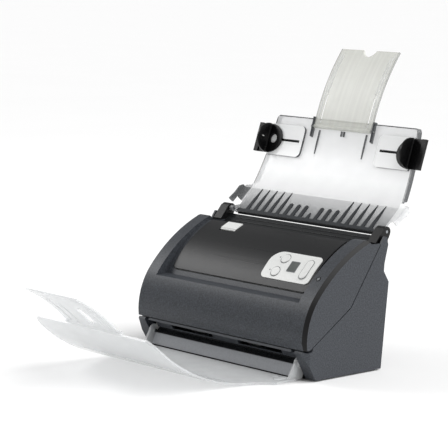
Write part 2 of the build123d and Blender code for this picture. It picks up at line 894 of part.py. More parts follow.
def cover_bevel(cover):
    """Slanted band between the front face and the side leaves."""
    front = [edge for edge in cover.edges() if edge.geom_type == GeomType.CIRCLE]
    return chamfer(front, side_chamfer)


def front_paper_guide():
    """Guide plate under the cover with a window for its scan glass and for the rollers."""
    back = -path_half_gap
    line = Polyline(
        cover_mouth, on_upper_path(cover_nip, back), path_corner(back), on_lower_path(51, back),
    )
    plate = slab(strip(line, guide_thickness, Side.RIGHT), -front_guide_half, front_guide_half)
    for low in (-front_guide_half, front_guide_half - front_guide_rib):
        rib = polygon(
            cover_mouth, (cover_mouth[0] - 14, 128), (4, 90), (-30, 50), (-33, 38),
            on_lower_path(51, back), path_corner(back), on_upper_path(cover_nip, back),
        )
        plate += slab(rib, low, low + front_guide_rib)
    window = in_path_frame(scan_station, -path_half_gap - 1)
    plate -= window * Box(2 * (front_guide_half - front_guide_rib), scan_unit_depth + 0.6, 12)
    plate -= rod(separation_axis, separation_radius + 1.0, -14, 14)
    plate -= both_sides(rod(pinch_axis, pinch_radius + 1.0, 35, 57))
    plate -= rod(separation_axis, 2.0, -front_guide_half - 1, front_guide_half + 1)
    plate -= rod(pinch_axis, 2.0 + running_gap, -front_guide_half - 1, front_guide_half + 1)
    return plate


def top_panel():
    """Slightly raised plate on the recess floor, with rounded lower corners."""
    low = 7.0
    band = recess_band(low, recess_run - 0.6, 0.0, top_panel_thickness)
    panel = slab(band, -top_panel_half, top_panel_half)
    plane = recess_plane(recess_run / 2)
    run = recess_run - low
    outline = Pos(0, low / 2 + 8) * RectangleRounded(2 * top_panel_half, run + 16, 7)
    panel &= extrude(plane * outline, amount=30, both=True)
    panel -= button_openings(0.6)
    panel -= tab_seat()
    return panel


panel_run = recess_run * 0.39
panel_span = 36.0


def control_panel():
    """White plate with rounded ends that carries the buttons and the display."""
    rise = top_panel_thickness
    low = panel_run - panel_span / 2
    plate = slab(recess_band(low, low + panel_span, rise, rise + panel_thickness), panel_left, panel_right)
    middle = (panel_left + panel_right) / 2
    outline = RectangleRounded(panel_right - panel_left, panel_span, 6)
    sweep = Rectangle(30, 30) - Pos(15, -15) * Circle(15)
    outline -= Pos(-(panel_right - panel_left) / 2, panel_span / 2) * sweep
    plate &= extrude(recess_plane(panel_run, 0, middle) * outline, amount=20, both=True)
    plate -= button_openings(button_gap)
    plate -= display_plane() * Box(11.4, 12.4, 8)
    return plate


def display_plane():
    return recess_plane(panel_run, top_panel_thickness, panel_left + 39.0)


def display_window():
    return display_plane() * Pos(0, 0, 0.55) * Box(11.0, 12.0, 0.9)


def upper_button_plane():
    return recess_plane(panel_run + 8.5, top_panel_thickness + panel_thickness, panel_left + 21.5)


def lower_button_plane():
    return recess_plane(panel_run - 9.0, top_panel_thickness + panel_thickness, panel_left + 18.5)


def scan_button_plane():
    return recess_plane(panel_run - 0.5, top_panel_thickness + panel_thickness, panel_left + 58.5)


def button_openings(gap):
    deep = 14.0
    cuts = upper_button_plane() * Cylinder(button_radius + gap, deep)
    cuts += lower_button_plane() * Cylinder(button_radius + gap, deep)
    slot = SlotOverall(scan_button_length + 2 * gap, scan_button_width + 2 * gap, rotation=90)
    cuts += extrude(scan_button_plane() * slot, amount=deep / 2, both=True)
    return cuts


def round_button(plane):
    """Cap that stands a little proud of the panel, with a skirt behind it."""
    cap = plane * Pos(0, 0, (button_rise - 3.0) / 2) * Cylinder(button_radius, button_rise + 3.0)
    return chamfer(cap.edges().group_by(Axis(plane.origin, plane.z_dir))[-1], 0.3)


def scan_button():
    slot = SlotOverall(scan_button_length, scan_button_width, rotation=90)
    plane = scan_button_plane()
    body = extrude(plane.offset(-3.0) * slot, amount=button_rise + 3.0)
    return chamfer(body.edges().group_by(Axis(plane.origin, plane.z_dir))[-1], 0.3)


def panel_board():
    """Circuit board under the buttons, fixed below the cover's skin."""
    plane = recess_plane(panel_run, -body_wall - 3.4, (panel_left + panel_right) / 2)
    board = plane * Box(78, 38, 1.6)
    for x in (-36, 36):
        board += plane * Pos(x, 0, 1.6) * Cylinder(2.0, 2.4)
    return board


led_share = 0.34634
led_place_x = recess_width / 2 + led_share * (half_width - recess_width / 2)
lens_radius = 1.8


def led_plane():
    """Plane on the right shoulder, on the crown."""
    angle = nose_end_angle - 7.0
    y, z = crown_point(angle)
    outward = (0, cos(radians(angle)), sin(radians(angle)))
    return Plane(origin=(led_place_x, y, z), x_dir=(1, 0, 0), z_dir=outward)


def led_lens():
    return led_plane() * Pos(0, 0, -1.3) * Cylinder(lens_radius, 3.0)


tab_left = -76.5
tab_right = -53.5
tab_depth = 13.0
tab_axis_run = recess_run - tab_depth - 1.0


def tab_seat():
    """Pocket in the rear edge of the recess, with room for the tab's barrel in front."""
    plane = recess_plane(recess_run - tab_depth / 2 - 1.0, 0, (tab_left + tab_right) / 2)
    return plane * Pos(0, -1.3, 0) * Box(tab_right - tab_left + 0.8, tab_depth + 4.4, 6)


def cover_release_tab():
    """White finger tab at the rear left of the cover, on a pivot along its front edge."""
    middle = (tab_left + tab_right) / 2
    plane = recess_plane(recess_run - tab_depth / 2 - 1.0, top_panel_thickness - 0.1, middle)
    tab = plane * Box(tab_right - tab_left, tab_depth - 0.6, 1.8)
    barrel = rod(recess_spot(tab_axis_run, 0.0), 1.4, tab_left, tab_right)
    return tab + barrel


def separation_roller():
    return wheel(Circle(separation_radius), separation_axis, -12, 12, 2.0 + running_gap)


# Input chute
def chute_line():
    top = on_chute(0)
    middle = on_chute(chute_radius * radians(chute_turn) / 2)
    return [Line(chute_foot, chute_bend), ThreePointArc(chute_bend, middle, top)]


def chute_front_view(inset=0.0):
    """Outline of the chute seen from the front, as (x, z)."""
    top = on_chute(0)[1] + 0.5
    notch = chute_bend[1] + 3.5
    half = [
        (0, 130), (chute_foot_half, 130), (chute_foot_half, 153), (chute_wing_half - 3, 157),
        (chute_wing_half, 161), (chute_wing_half, 167), (chute_wing_half - 2.5, notch - 1.5),
        (chute_notch_half + 2, notch - 0.5), (chute_notch_half, notch + 1.5), (chute_top_half, top),
    ]
    right = [(x - inset if x else 0, min(z, top - inset)) for x, z in half]
    left = [(-x, z) for x, z in reversed(right[1:])]
    return make_face(Polyline(*right, *left, close=True))


def through_y(face):
    """A front-view face pushed through the whole depth."""
    return extrude(Plane.XZ.offset(-250) * face, amount=500, dir=(0, -1, 0))


def rounded_top(face):
    corners = face.vertices().sort_by(Axis.Y)[-2:]
    return fillet(corners, chute_corner)


def input_chute():
    """Clear curved plate with a turned rim, wings, guide platforms and hinge bosses."""
    half = chute_wing_half + 1
    sheet_profile = strip(Wire(chute_line()), chute_thickness, Side.RIGHT)
    rim_profile = strip(Wire(chute_line()), chute_thickness + rim_depth, Side.RIGHT)
    outline = rounded_top(chute_front_view())
    inner = rounded_top(chute_front_view(rim_thickness))
    sheet = slab(sheet_profile, -half, half) & through_y(outline)
    low = chute_bend[1] + 6
    above_wings = slab(polygon((60, low), (200, low), (200, 300), (60, 300)), -half, half)
    rim = slab(rim_profile, -half, half) & through_y(outline) & above_wings
    rim -= through_y(inner)
    chute = sheet + rim + both_sides(platform()) + both_sides(wing_cheek()) + both_sides(chute_boss())
    chute += both_sides(extension_post())
    chute -= both_sides(guide_slot())
    return chute


def wing_cheek():
    """Upright edge of a wing, kept clear of the hinge tower."""
    along = (cos(radians(chute_lower_slope)), sin(radians(chute_lower_slope)))
    start = (chute_foot[0] + 13 * along[0], chute_foot[1] + 13 * along[1])
    heel = (start[0] - 5.5, start[1] + 4.5)
    profile = polygon(start, heel, (84.0, 163.0), (91.0, 169.5), (96.5, 170.5), chute_bend)
    return slab(profile, chute_wing_half - 2.2, chute_wing_half)


def chute_boss():
    y, z = chute_hinge
    web = polygon((y + 0.5, z - 3.4), (y + 5.0, z - 4.2), (y + 12.0, z + 3.6), (y + 3.0, z + 3.0))
    boss = slab(Pos(y, z) * Circle(chute_boss_radius) + web, chute_boss_inner, chute_foot_half + 0.4)
    return boss - rod(chute_hinge, chute_pin_radius + running_gap, chute_boss_inner - 1, chute_foot_half + 1)


def platform():
    """Raised pad that a paper guide slides over."""
    low_drop, high_drop = chute_drop_at(platform_low), chute_drop_at(platform_high)
    middle = (low_drop + high_drop) / 2
    drops = (low_drop, middle, high_drop)
    back = ThreePointArc(*[on_chute(drop) for drop in drops])
    front = ThreePointArc(*[on_chute(drop, platform_height) for drop in drops])
    face = make_face([back, front, Line(back @ 0, front @ 0), Line(back @ 1, front @ 1)])
    pad = slab(face, platform_inner, platform_outer)
    upright = [edge for edge in pad.edges() if abs(edge.length - platform_height) < 0.2]
    return fillet([edge for edge in upright if edge.center().X < platform_inner + 0.1], platform_corner)


guide_drop = chute_drop_at((platform_low + platform_high) / 2)


def guide_plane(x=0.0, front=0.0):
    """Plane in front of a platform: X along the machine, Y up the chute, Z to the front."""
    y, z = on_chute(guide_drop, platform_height + front)
    slope = radians(chute_slope(guide_drop))
    return Plane(origin=(x, y, z), x_dir=(1, 0, 0), z_dir=(0, -sin(slope), cos(slope)))


def guide_slot():
    middle = (slot_inner + slot_outer) / 2
    return guide_plane(middle) * Box(slot_outer - slot_inner, slot_height, 20)


def half_disc(reach):
    """D shape on its straight side, reach wide, pointing to positive X."""
    oval = Ellipse(reach, guide_half_length)
    return oval & Pos(reach, 0) * Rectangle(2 * reach, 4 * guide_half_length)


fence_axis_rise = guide_plate + barrel_radius


def on_guide(x, along=0.0, rise=0.0):
    """Place on the right paper guide, rise above the back of its plate."""
    return guide_plane(x, guide_lift) * Pos(0, along, rise)


def hinge_rod(radius, length, along=0.0):
    """Cylinder on the fold between the guide and its fence."""
    return on_guide(guide_crease, along, fence_axis_rise) * Rot(90, 0, 0) * Cylinder(radius, length)


def paper_guide(side):
    """Flat half of a folding disc with an outer flange, its hinge pin, and the foot that runs
    in the platform's slot."""
    reach = guide_crease - guide_inner
    plate = extrude(on_guide(guide_crease) * Rot(0, 0, 180) * half_disc(reach), amount=guide_plate)
    middle = (guide_crease + guide_outer) / 2
    plate += on_guide(middle, 0, guide_plate / 2) * Box(guide_flange, 2 * guide_half_length, guide_plate)
    rim = on_guide(guide_outer - guide_rim / 2, 0, guide_plate)
    plate += rim * Box(guide_rim, 2 * guide_half_length, 2 * guide_plate)
    hole_x, hole_radius = guide_hole
    plate -= on_guide(hole_x) * Cylinder(hole_radius, 10)
    for along in (-knuckle_place, knuckle_place):
        plate += hinge_rod(barrel_radius, knuckle_length, along)
        plate += on_guide(guide_crease, along, fence_axis_rise / 2) * Box(
            2 * barrel_radius, knuckle_length, fence_axis_rise)
    plate += hinge_rod(fence_pin_radius, 2 * knuckle_place)
    return sided(plate + guide_foot(), side)


def guide_foot():
    """Neck through the platform's slot with a wider foot behind the chute."""
    low_x, high_x = guide_neck
    middle = (low_x + high_x) / 2
    behind = guide_lift + platform_height + chute_thickness + 0.6
    neck = on_guide(middle, 0, -behind / 2) * Box(high_x - low_x, slot_height - 0.2, behind + 0.4)
    return neck + on_guide(middle, 0, -behind - 0.6) * Box(10.0, 8.0, 1.4)


def paper_fence(side):
    """Raised half of the disc, which folds down flat onto the other half."""
    axis = on_guide(guide_crease, 0, fence_axis_rise)
    upright = Plane(axis.position, x_dir=guide_plane().z_dir, z_dir=(-1, 0, 0))
    plate = extrude(upright * half_disc(fence_height), amount=fence_thickness / 2, both=True)
    for along in (-knuckle_place, knuckle_place):
        plate -= axis * Pos(0, along, 0) * Box(6, knuckle_length + 0.8, 2 * barrel_radius + 1.2)
    plate += hinge_rod(barrel_radius, fence_barrel_length)
    plate -= hinge_rod(fence_pin_radius + running_gap, 2 * guide_half_length + 2)
    return sided(plate, side)


def sided(shape, side):
    """A right-hand shape as it is, or mirrored for the left."""
    return shape if side > 0 else mirrored(shape)


def finger(length, pointed):
    """One finger lying on the lower part of the chute, as a face in its plane."""
    half = finger_width / 2
    if pointed:
        return make_face(Polyline((-half, 0), (half, 0), (half * 0.72, length * 0.55), (0, length),
                                  (-half * 0.72, length * 0.55), close=True))
    body = Pos(0, (length - half) / 2) * Rectangle(finger_width, length - half)
    return body + Pos(0, length - half) * Circle(half)


def finger_bar():
    """Grey bar along the foot of the chute with its row of seventeen fingers."""
    plane = Plane(
        origin=(0, chute_foot[0], chute_foot[1]), x_dir=(1, 0, 0),
        z_dir=(0, -sin(radians(chute_lower_slope)), cos(radians(chute_lower_slope))),
    )
    bar = plane * Pos(0, 1.6, 1.3) * Box(2 * 107.5, 3.8, 2.6)
    for place in range(-8, 9):
        if place == 0:
            shape = finger(centre_finger, True)
        elif abs(place) <= 3:
            shape = finger(short_finger, False)
        else:
            shape = finger(long_finger, True)
        bar += extrude(plane * Pos(place * finger_pitch, 3.0) * shape, amount=finger_height)
    return bar


extension_axis = on_chute(extension_drop, extension_barrel + 0.5)


def extension_post():
    """Side post that holds one pin of the extension."""
    corners = ((0.8, -1), (-1.6, 0.0), (-1.6, 4.0), (21.2, 4.0), (22.7, -1))
    spots = [on_chute(drop, front) for drop, front in corners]
    y, z = extension_axis
    face = polygon(*spots) + Pos(y, z) * Circle(extension_barrel)
    post = slab(face, extension_half + 0.8, extension_half + 3.2)
    return post - rod(extension_axis, hinge_stub + running_gap, extension_half, extension_half + 5)


def extension_clip():
    """Two small posts in the middle that stop the extension's lower edge."""
    first = extension_drop + extension_barrel + 0.5
    corners = ((first, -1), (first, clip_height), (first + 5.5, clip_height), (first + 7.0, -1))
    spots = [on_chute(drop, front) for drop, front in corners]
    return both_sides(slab(polygon(*spots), 0.8, 3.0))


def rest_ribs():
    """Two pointed low ribs below the extension."""
    first = extension_drop + extension_barrel + 1.4
    last = first + extension_slot_length - 1.4
    high = clip_height
    spots = [(first, -1), (first, high), ((first + last) / 2, high), (last, 0), (last, -1)]
    profile = polygon(*[on_chute(drop, front) for drop, front in spots])
    half = rest_rib_width / 2
    return both_sides(slab(profile, extension_slot_half - half, extension_slot_half + half))


def arc_spots(start, slope, radius, turn, offset_by, bend):
    """Three points on an arc that starts at a slope and turns; bend is 1 up or -1 down."""
    centre = out_from(start, radius, slope + 90 * bend)
    first = slope - 90 * bend
    reach = radius - offset_by * bend
    return [out_from(centre, reach, first + bend * turn * share) for share in (0.0, 0.5, 1.0)]


def curved_sheet(start, slope, radius, length, thickness, bend):
    """Side view of a sheet centred on an arc."""
    turn = degrees(length / radius)
    outer = arc_spots(start, slope, radius, turn, thickness / 2, bend)
    inner = arc_spots(start, slope, radius, turn, -thickness / 2, bend)
    return make_face([
        ThreePointArc(*outer), ThreePointArc(*inner), Line(outer[0], inner[0]), Line(outer[2], inner[2]),
    ])


extension_slope = chute_slope(extension_drop)


def input_extension():
    """Clear flip-up sheet that holds long paper, with a hinge barrel, two slots and a notch."""
    profile = curved_sheet(
        extension_axis, extension_slope, extension_radius, extension_length, extension_thickness, -1
    )
    sheet = slab(profile, -extension_half, extension_half)
    top = sheet.bounding_box().max.Z
    low = extension_axis[1]
    outline = Pos(0, (top + low) / 2) * RectangleRounded(2 * extension_half, top - low + 12, extension_corner)
    outline += Pos(0, low + 5) * Rectangle(2 * extension_half, 30)
    outline -= Pos(0, top + 3.4) * Circle(10.5)
    sheet &= through_y(outline)
    slot_low = low + extension_barrel + 0.9
    for x in (-extension_slot_half, extension_slot_half):
        middle = Pos(x, slot_low + extension_slot_length / 2)
        sheet -= through_y(middle * RectangleRounded(extension_slot_width, extension_slot_length, 1.4))
    barrel = rod(extension_axis, extension_barrel, -extension_half, extension_half)
    stubs = rod(extension_axis, hinge_stub, -extension_half - 3.0, extension_half + 3.0)
    return sheet + barrel + stubs


# Output tray
tray_top_height = tray_underside + tray_thickness
tray_centre = (tray_flat_end, tray_top_height + tray_radius)


def on_tray(angle, above=0.0):
    """Point on the tray's curved part; angle counts from its flat part."""
    return out_from(tray_centre, tray_radius - above, -90 - angle)


def tray_profile():
    top = ThreePointArc(on_tray(0), on_tray(tray_sweep / 2), on_tray(tray_sweep))
    under = -tray_thickness
    low = ThreePointArc(on_tray(0, under), on_tray(tray_sweep / 2, under), on_tray(tray_sweep, under))
    flat = Polyline(on_tray(0, under), (tray_back, tray_underside), (tray_back, tray_top_height), on_tray(0))
    return make_face([top, Line(on_tray(tray_sweep), on_tray(tray_sweep, under)), low, flat])


def tray_plan():
    """Outline of the tray seen from above: wide at the hinge, drawn in, rounded in front."""
    front = on_tray(tray_sweep, -tray_thickness)[0] - 0.5
    right = [
        (0, tray_back + 20), (tray_hinge_half, tray_back + 20), (tray_hinge_half, -84.0), (104.5, -97.0),
        (tray_middle_half + 1.5, -112.0), (tray_middle_half, -130.0), (tray_front_half, front),
    ]
    left = [(-x, y) for x, y in reversed(right[1:])]
    face = make_face(Polyline(*right, *left, close=True))
    corners = face.vertices().sort_by(Axis.Y)[:2]
    return fillet(corners, tray_corner)


def tray_arm():
    """Lug that hangs the tray on its pin, short enough to fold up past the cover's nose."""
    y, z = tray_hinge
    foot = polygon(
        (y + 7.8, z - 2), (y + 2.0, tray_underside), (y - 18.0, tray_underside),
        (y - 16.5, tray_top_height + 0.6), (y - 7.9, z + 1.0),
    )
    arm = slab(foot + Pos(y, z) * Circle(tray_lug_radius), tray_lug_inner, tray_lug_outer)
    arm += rod(tray_hinge, 4.0, tray_lug_outer, tray_hinge_half)
    return arm - rod(tray_hinge, tray_pin_radius + running_gap, tray_lug_inner - 1, tray_hinge_half + 1)


def output_tray():
    """Clear tray: flat on the table, then curving up to its front edge."""
    tray = slab(tray_profile(), -tray_hinge_half, tray_hinge_half)
    tray &= extrude(Plane.XY * tray_plan(), amount=200, both=True)
    tray += both_sides(tray_arm())
    tray += both_sides(flap_lug())
    return tray


flap_axis = on_tray(tray_sweep - 0.8, flap_barrel + 0.5)
flap_slope = 180 - tray_sweep


def flap_lug():
    y, z = flap_axis
    foot = polygon(on_tray(tray_sweep, -1), on_tray(tray_sweep - 3, -1), on_tray(tray_sweep - 2, 3), (y, z))
    lug = slab(foot + Pos(y, z) * Circle(flap_barrel), flap_half + 0.8, flap_half + 3.2)
    return lug - rod(flap_axis, hinge_stub + running_gap, flap_half, flap_half + 4)


def output_flap():
    """Clear stop that continues the tray upwards and folds back onto it."""
    profile = curved_sheet(flap_axis, flap_slope, flap_radius, flap_length, flap_thickness, 1)
    sheet = slab(profile, -flap_half, flap_half)
    sheet += rod(flap_axis, flap_barrel, -flap_half, flap_half)
    sheet += rod(flap_axis, hinge_stub, -flap_half - 3.0, flap_half + 3.0)
    slot = Pos(8.0, flap_axis[0] - 16.0) * RectangleRounded(9.0, 22.0, 2.0)
    return sheet - extrude(Plane.XY * slot, amount=200, both=True)


def all_parts():
    """Every node of the scanner by name."""
    return {
        "base_housing": base_housing(),
        "bottom_plate": bottom_plate(),
        "rubber_feet": rubber_feet(),
        "housing_screws": housing_screws(),
        "left_side_frame": side_frame(-1),
        "right_side_frame": side_frame(1),
        "hinge_pins": hinge_pins(),
        "rear_paper_guide": rear_paper_guide(),
        "exit_ramp": exit_ramp(),
        "exit_guide_bar": exit_guide_bar(),
        "rear_scan_glass": scan_glass(1),
        "rear_scan_unit": scan_unit(1),
        "main_board": main_board(),
        "usb_socket": usb_socket(),
        "power_socket": power_socket(),
        "power_switch": power_switch(),
        "switch_frame": switch_frame(),
        "feed_gear": feed_gear(),
        "pick_gear": pick_gear(),
        "middle_gear": middle_gear(),
        "motor_pulley": pulley(motor_centre, motor_pulley_radius, 2.0),
        "feed_pulley": pulley(feed_axis, feed_pulley_radius, shaft_radius),
        "exit_pulley": pulley(exit_axis, exit_pulley_radius, shaft_radius),
        "drive_belt": drive_belt(),
        "drive_motor": drive_motor(),
        "motor_shaft": motor_shaft(),
        "pick_shaft": shaft(pick_axis, -frame_outer, gear_high + 0.8),
        "pick_rollers": tyres(pick_axis, pick_radius, 17, 15),
        "feed_shaft": shaft(feed_axis, -gear_low - pulley_width - 1, gear_high + 0.8),
        "feed_rollers": tyres(feed_axis, feed_radius, 46, 20),
        "exit_shaft": shaft(exit_axis, -gear_low - pulley_width - 1, frame_outer),
        "exit_rollers": tyres(exit_axis, exit_radius, 44, 20),
        "exit_pinch_rollers": spindle(exit_pinch_axis, 1.5, frame_inner + 2, exit_pinch_radius, 44, 20),
        "front_cover": front_cover(),
        "front_paper_guide": front_paper_guide(),
        "front_scan_glass": scan_glass(-1),
        "front_scan_unit": scan_unit(-1),
        "top_panel": top_panel(),
        "control_panel": control_panel(),
        "display_window": display_window(),
        "upper_round_button": round_button(upper_button_plane()),
        "lower_round_button": round_button(lower_button_plane()),
        "scan_button": scan_button(),
        "panel_board": panel_board(),
        "status_light_lens": led_lens(),
        "cover_release_tab": cover_release_tab(),
        "separation_roller": separation_roller(),
        "separation_shaft": shaft(separation_axis, -front_guide_half, front_guide_half, 2.0),
        "pinch_rollers": spindle(pinch_axis, 2.0, front_guide_half, pinch_radius, 46, 20),
        "input_chute": input_chute() + extension_clip() + rest_ribs(),
        "chute_finger_bar": finger_bar(),
        "left_paper_guide": paper_guide(-1),
        "right_paper_guide": paper_guide(1),
        "left_paper_fence": paper_fence(-1),
        "right_paper_fence": paper_fence(1),
        "input_extension": input_extension(),
        "output_tray": output_tray(),
        "output_flap": output_flap(),
    }


def main():
    for name, shape in all_parts().items():
        export_step(Pos(0, origin_forward, 0) * shape, f"parts/{name}.step")


main()
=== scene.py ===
from math import asin, atan2, cos, degrees, pi, radians, sin

import bpy
from bpy.props import FloatProperty, FloatVectorProperty, PointerProperty
from mathutils import Matrix, Vector


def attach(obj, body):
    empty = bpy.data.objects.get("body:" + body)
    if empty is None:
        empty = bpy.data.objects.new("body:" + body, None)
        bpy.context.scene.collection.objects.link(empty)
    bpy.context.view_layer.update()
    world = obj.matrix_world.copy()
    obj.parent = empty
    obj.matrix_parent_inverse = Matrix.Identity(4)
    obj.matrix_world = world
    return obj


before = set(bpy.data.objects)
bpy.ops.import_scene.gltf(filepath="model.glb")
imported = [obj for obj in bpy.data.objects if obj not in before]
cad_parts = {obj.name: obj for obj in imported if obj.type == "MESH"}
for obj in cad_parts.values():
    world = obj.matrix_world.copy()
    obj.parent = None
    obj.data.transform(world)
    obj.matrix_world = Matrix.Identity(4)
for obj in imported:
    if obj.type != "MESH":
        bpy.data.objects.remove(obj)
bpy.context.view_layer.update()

bl_info = {
    "name": "Document Scanner Finish",
    "version": (1, 0, 0),
    "blender": (4, 5, 0),
    "location": "View3D > Sidebar > Scanner",
    "description": "Gives a desk scanner its plastics, small mouldings and studio",
    "category": "Object",
}

# Sizes that the scanner's solids have, in millimetres from the middle of its foot, with angles in
# degrees. A lean is how far a face turns sideways, from 0 to 1.
FORWARD = 57.5
ARM_ACROSS = (113.3, 125.7)
ARM_HEIGHT = 134.5
BAND_ACROSS = 126.5
BAND_LEAN = (0.35, 0.5)
LEAF_LEAN = (0.88, 0.95)
NOSE_CENTRE = (11.0, 42.0)
NOSE_RADIUS = 72.0
CROWN_RADIUS = 180.0
CROWN_START = 140.0
LENS_PLACE = (118.1, 7.0)
LENS_RING = (3.0, 1.95)
LENS_RING_RISE = 0.35

# The recess in the cover: a curved plate with the control panel on it
RECESS_ARC = ((-35.0, 81.5), (-6.0, 116.3), (28.5, 136.6))
PLATE_HALF = 104.0
PLATE_LOW = 7.0
PLATE_CORNER = 7.0
PLATE_TOP_GAP = 0.6
GROOVE_WIDTH = 1.3
GROOVE_RISE = 0.08
PANEL_SHARE = 0.39
PANEL_RISE = 1.8
ROUND_BUTTONS = ((51.5, 8.5), (48.5, -9.0))
ROUND_BUTTON_RADIUS = 5.9
SCAN_BUTTON = (88.5, -0.5)
SCAN_BUTTON_SIZE = (9.9, 24.9)
ARROWS = ((42.3, 9.5), (39.3, -8.0))
DISPLAY_ACROSS = 69.0
DISPLAY_SIZE = (11.4, 12.4)
DISPLAY_FRAME_RISE = 0.25
PRINT_SINK = 0.05

# The chute: a short straight foot and a long curved sheet
CHUTE_FOOT = (70.0, 143.0)
CHUTE_LOWER = (37.7, 41.3)
CHUTE_RADIUS = 300.0
CHUTE_SLOPES = (59.5, 17.3)
CHUTE_HALVES = (115.0, 107.7)
CHUTE_FRONT = 3.0
CHUTE_BACK = 2.4
CURVE_START = 7.0
TAPER_START = 5.0
THIN_LINE = 0.75
WALL_LEAN = 0.6
RIM_REACH = 302.6
PAD_REACH = 299.85
PAD_ACROSS = 56.0
CLIP_REACH = 299.6
CLIP_ACROSS = 55.0
FOOT_SHADE = (148.0, 192.0)
FOOT_ACROSS = 112.5
WING_ACROSS = 124.5
# Across beyond which and height below which the left wing of the chute is painted with shade
LEFT_WING_SHADE = (115.3, 172.5)
LIP_SIZE = (214.0, 2.7)
LIP_PLACE = (0.1, 1.2)

# The paper guides on the chute
GUIDE_HEIGHTS = (206.0, 241.0)
SLOT_HALF = 1.33
SLOT_ENDS = (61.9, 96.7)
GUIDE_GAP = 0.8
GUIDE_PLATE = 1.6
GUIDE_HOLE = (101.3, 5.3)
GUIDE_RING_WIDTH = 2.7
# Painted shade: black band behind each guide's slot, its place across, width and height
SLOT_SHADE_BAND = (77.0, 31.0, 6.0)
SLOT_SHADE_BEHIND = 0.9
FENCE_ACROSS = 109.2
FENCE_RISE = 3.1
# Painted highlight: the pale diamond on each fence's inner face
GLINT_RISE = 9.0
GLINT_SIZE = (0.55, 2.4)
GLINT_INSET = 0.9

# The flip-up sheet, the tray and its stop
EXTENSION_HALF = 44.0
EXTENSION_RADIUS = 240.0
EXTENSION_HINGE = (9.4, 2.8)
EXTENSION_RIDGES = ((-36.0, 40.0, 90.0), (36.0, 40.0, 90.0), (-39.5, 8.0, 92.0), (39.5, 8.0, 92.0))
TRAY_CENTRE = (-100.0, 189.0)
TRAY_RADIUS = 186.0
TRAY_MARKS = ((-62.0, 6.0, 1), (-36.0, 12.0, 1), (-20.0, 14.0, -1), (40.0, 12.0, 1))
STOP_HINGE = (45.2, 2.5)
STOP_START = 134.0
STOP_RADIUS = 183.0
STOP_RIDGES = ((-30.0, 6.0, 46.0), (-18.0, 6.0, 40.0), (22.0, 6.0, 40.0), (33.0, 6.0, 46.0))
EAR_FLOOR = 3.0
OVAL_BOSS = (106.0, -68.0)
OVAL_BOSS_SIZE = (7.0, 17.0)
ROUND_BOSS = (96.0, -66.0)
ROUND_BOSS_RADIUS = 3.2

# The way of the sheet through the scanner
PATH_BEND = (8.0, 70.0)
THROAT_SLOPE = 56.3
THROAT_LENGTH = 70.0
MOUTH_END = (65.0, 140.6)
MOUTH_RIDGES = (0.28, 0.52, 0.76)
RAMP_SLOPE = 43.0
RAMP_RIDGES = (62.0, 71.5)
# Heights over which the ramp's top turns to the painted shade grey
RAMP_SHADE = (15.2, 16.0)

# Specks in the charcoal, the black painted as shade in the chute's slots, and the black of the thin lines
# on the cover
SPECKS = 0.2
SLOT_SHADE_BLACK = (0.004, 0.004, 0.004, 1.0)
LINE_BLACK = (0.006, 0.006, 0.007, 1.0)

# Light and floor of the studio
FLOOR_RINGS = (0.01, 0.03, 0.1, 0.3, 1.0)
FLOOR_STEPS = 96
LEFT_LIGHT_PLACE = (-1.37, -0.62, 1.16)
LEFT_LIGHT_AIM = (0, 0, 0.1)
LEFT_LIGHT_SIZE = (0.8, 0.5)
KEY_LIGHT_FROM = (0.61, 0.35, 0.71)


def colour_of(hex_text):
    """Linear colour from a hex code, with full alpha."""
    parts = [int(hex_text[i:i + 2], 16) / 255 for i in (0, 2, 4)]
    linear = [p / 12.92 if p <= 0.04045 else ((p + 0.055) / 1.055) ** 2.4 for p in parts]
    return tuple(linear) + (1.0,)


def colour_property(name, hex_text, description):
    """Colour that a user can change."""
    return FloatVectorProperty(
        name=name, description=description, subtype="COLOR", size=4, min=0.0, max=1.0,
        default=colour_of(hex_text),
    )


def length_property(name, millimetres, description):
    """Length that a user can change, given in millimetres and kept in metres."""
    return FloatProperty(
        name=name, description=description, subtype="DISTANCE", unit="LENGTH", min=0.0,
        default=millimetres / 1000,
    )


def share_property(name, value, description):
    """Share between nothing and all that a user can change."""
    return FloatProperty(
        name=name, description=description, subtype="FACTOR", min=0.0, max=1.0, default=value
    )


def angle_property(name, value, description):
    """Angle in radians that a user can change."""
    return FloatProperty(
        name=name, description=description, subtype="ANGLE", unit="ROTATION", default=value
    )


class MouldingSettings(bpy.types.PropertyGroup):
    """Colours and grain of the moulded housing, cover, panel and guides"""

    charcoal: colour_property("Charcoal", "3b3e43", "Colour of the fine-grained housing and cover")
    bevel_black: colour_property("Slanted band", "020203", "Colour of the band beside the side leaves")
    recess_panel: colour_property("Recess panel", "101113", "Colour of the plate let into the cover")
    black: colour_property("Black", "040405", "Colour of the guides, sockets and bottom plate")
    white: colour_property("White", "e0e1df", "Colour of the control panel, buttons and release tab")
    grey: colour_property("Grey", "a2a4a8", "Colour of the exit ramp")
    # Painted shade: this dark grey stands in for the shade on the plate behind the sheet and on the ramp's
    # top under the exit, and colours the mouth and ramp ridges and the foot lip
    painted_shade_grey: colour_property("Shaded grey", "17191b", "Colour of the plate behind the sheet")
    grain: length_property("Grain", 0.45, "Size of the moulded grain on the housing")
    softened_edge: length_property("Softened edge", 0.45, "Radius of the moulded edges")
    gloss: share_property("Housing roughness", 0.42, "Roughness of the housing between its grain")


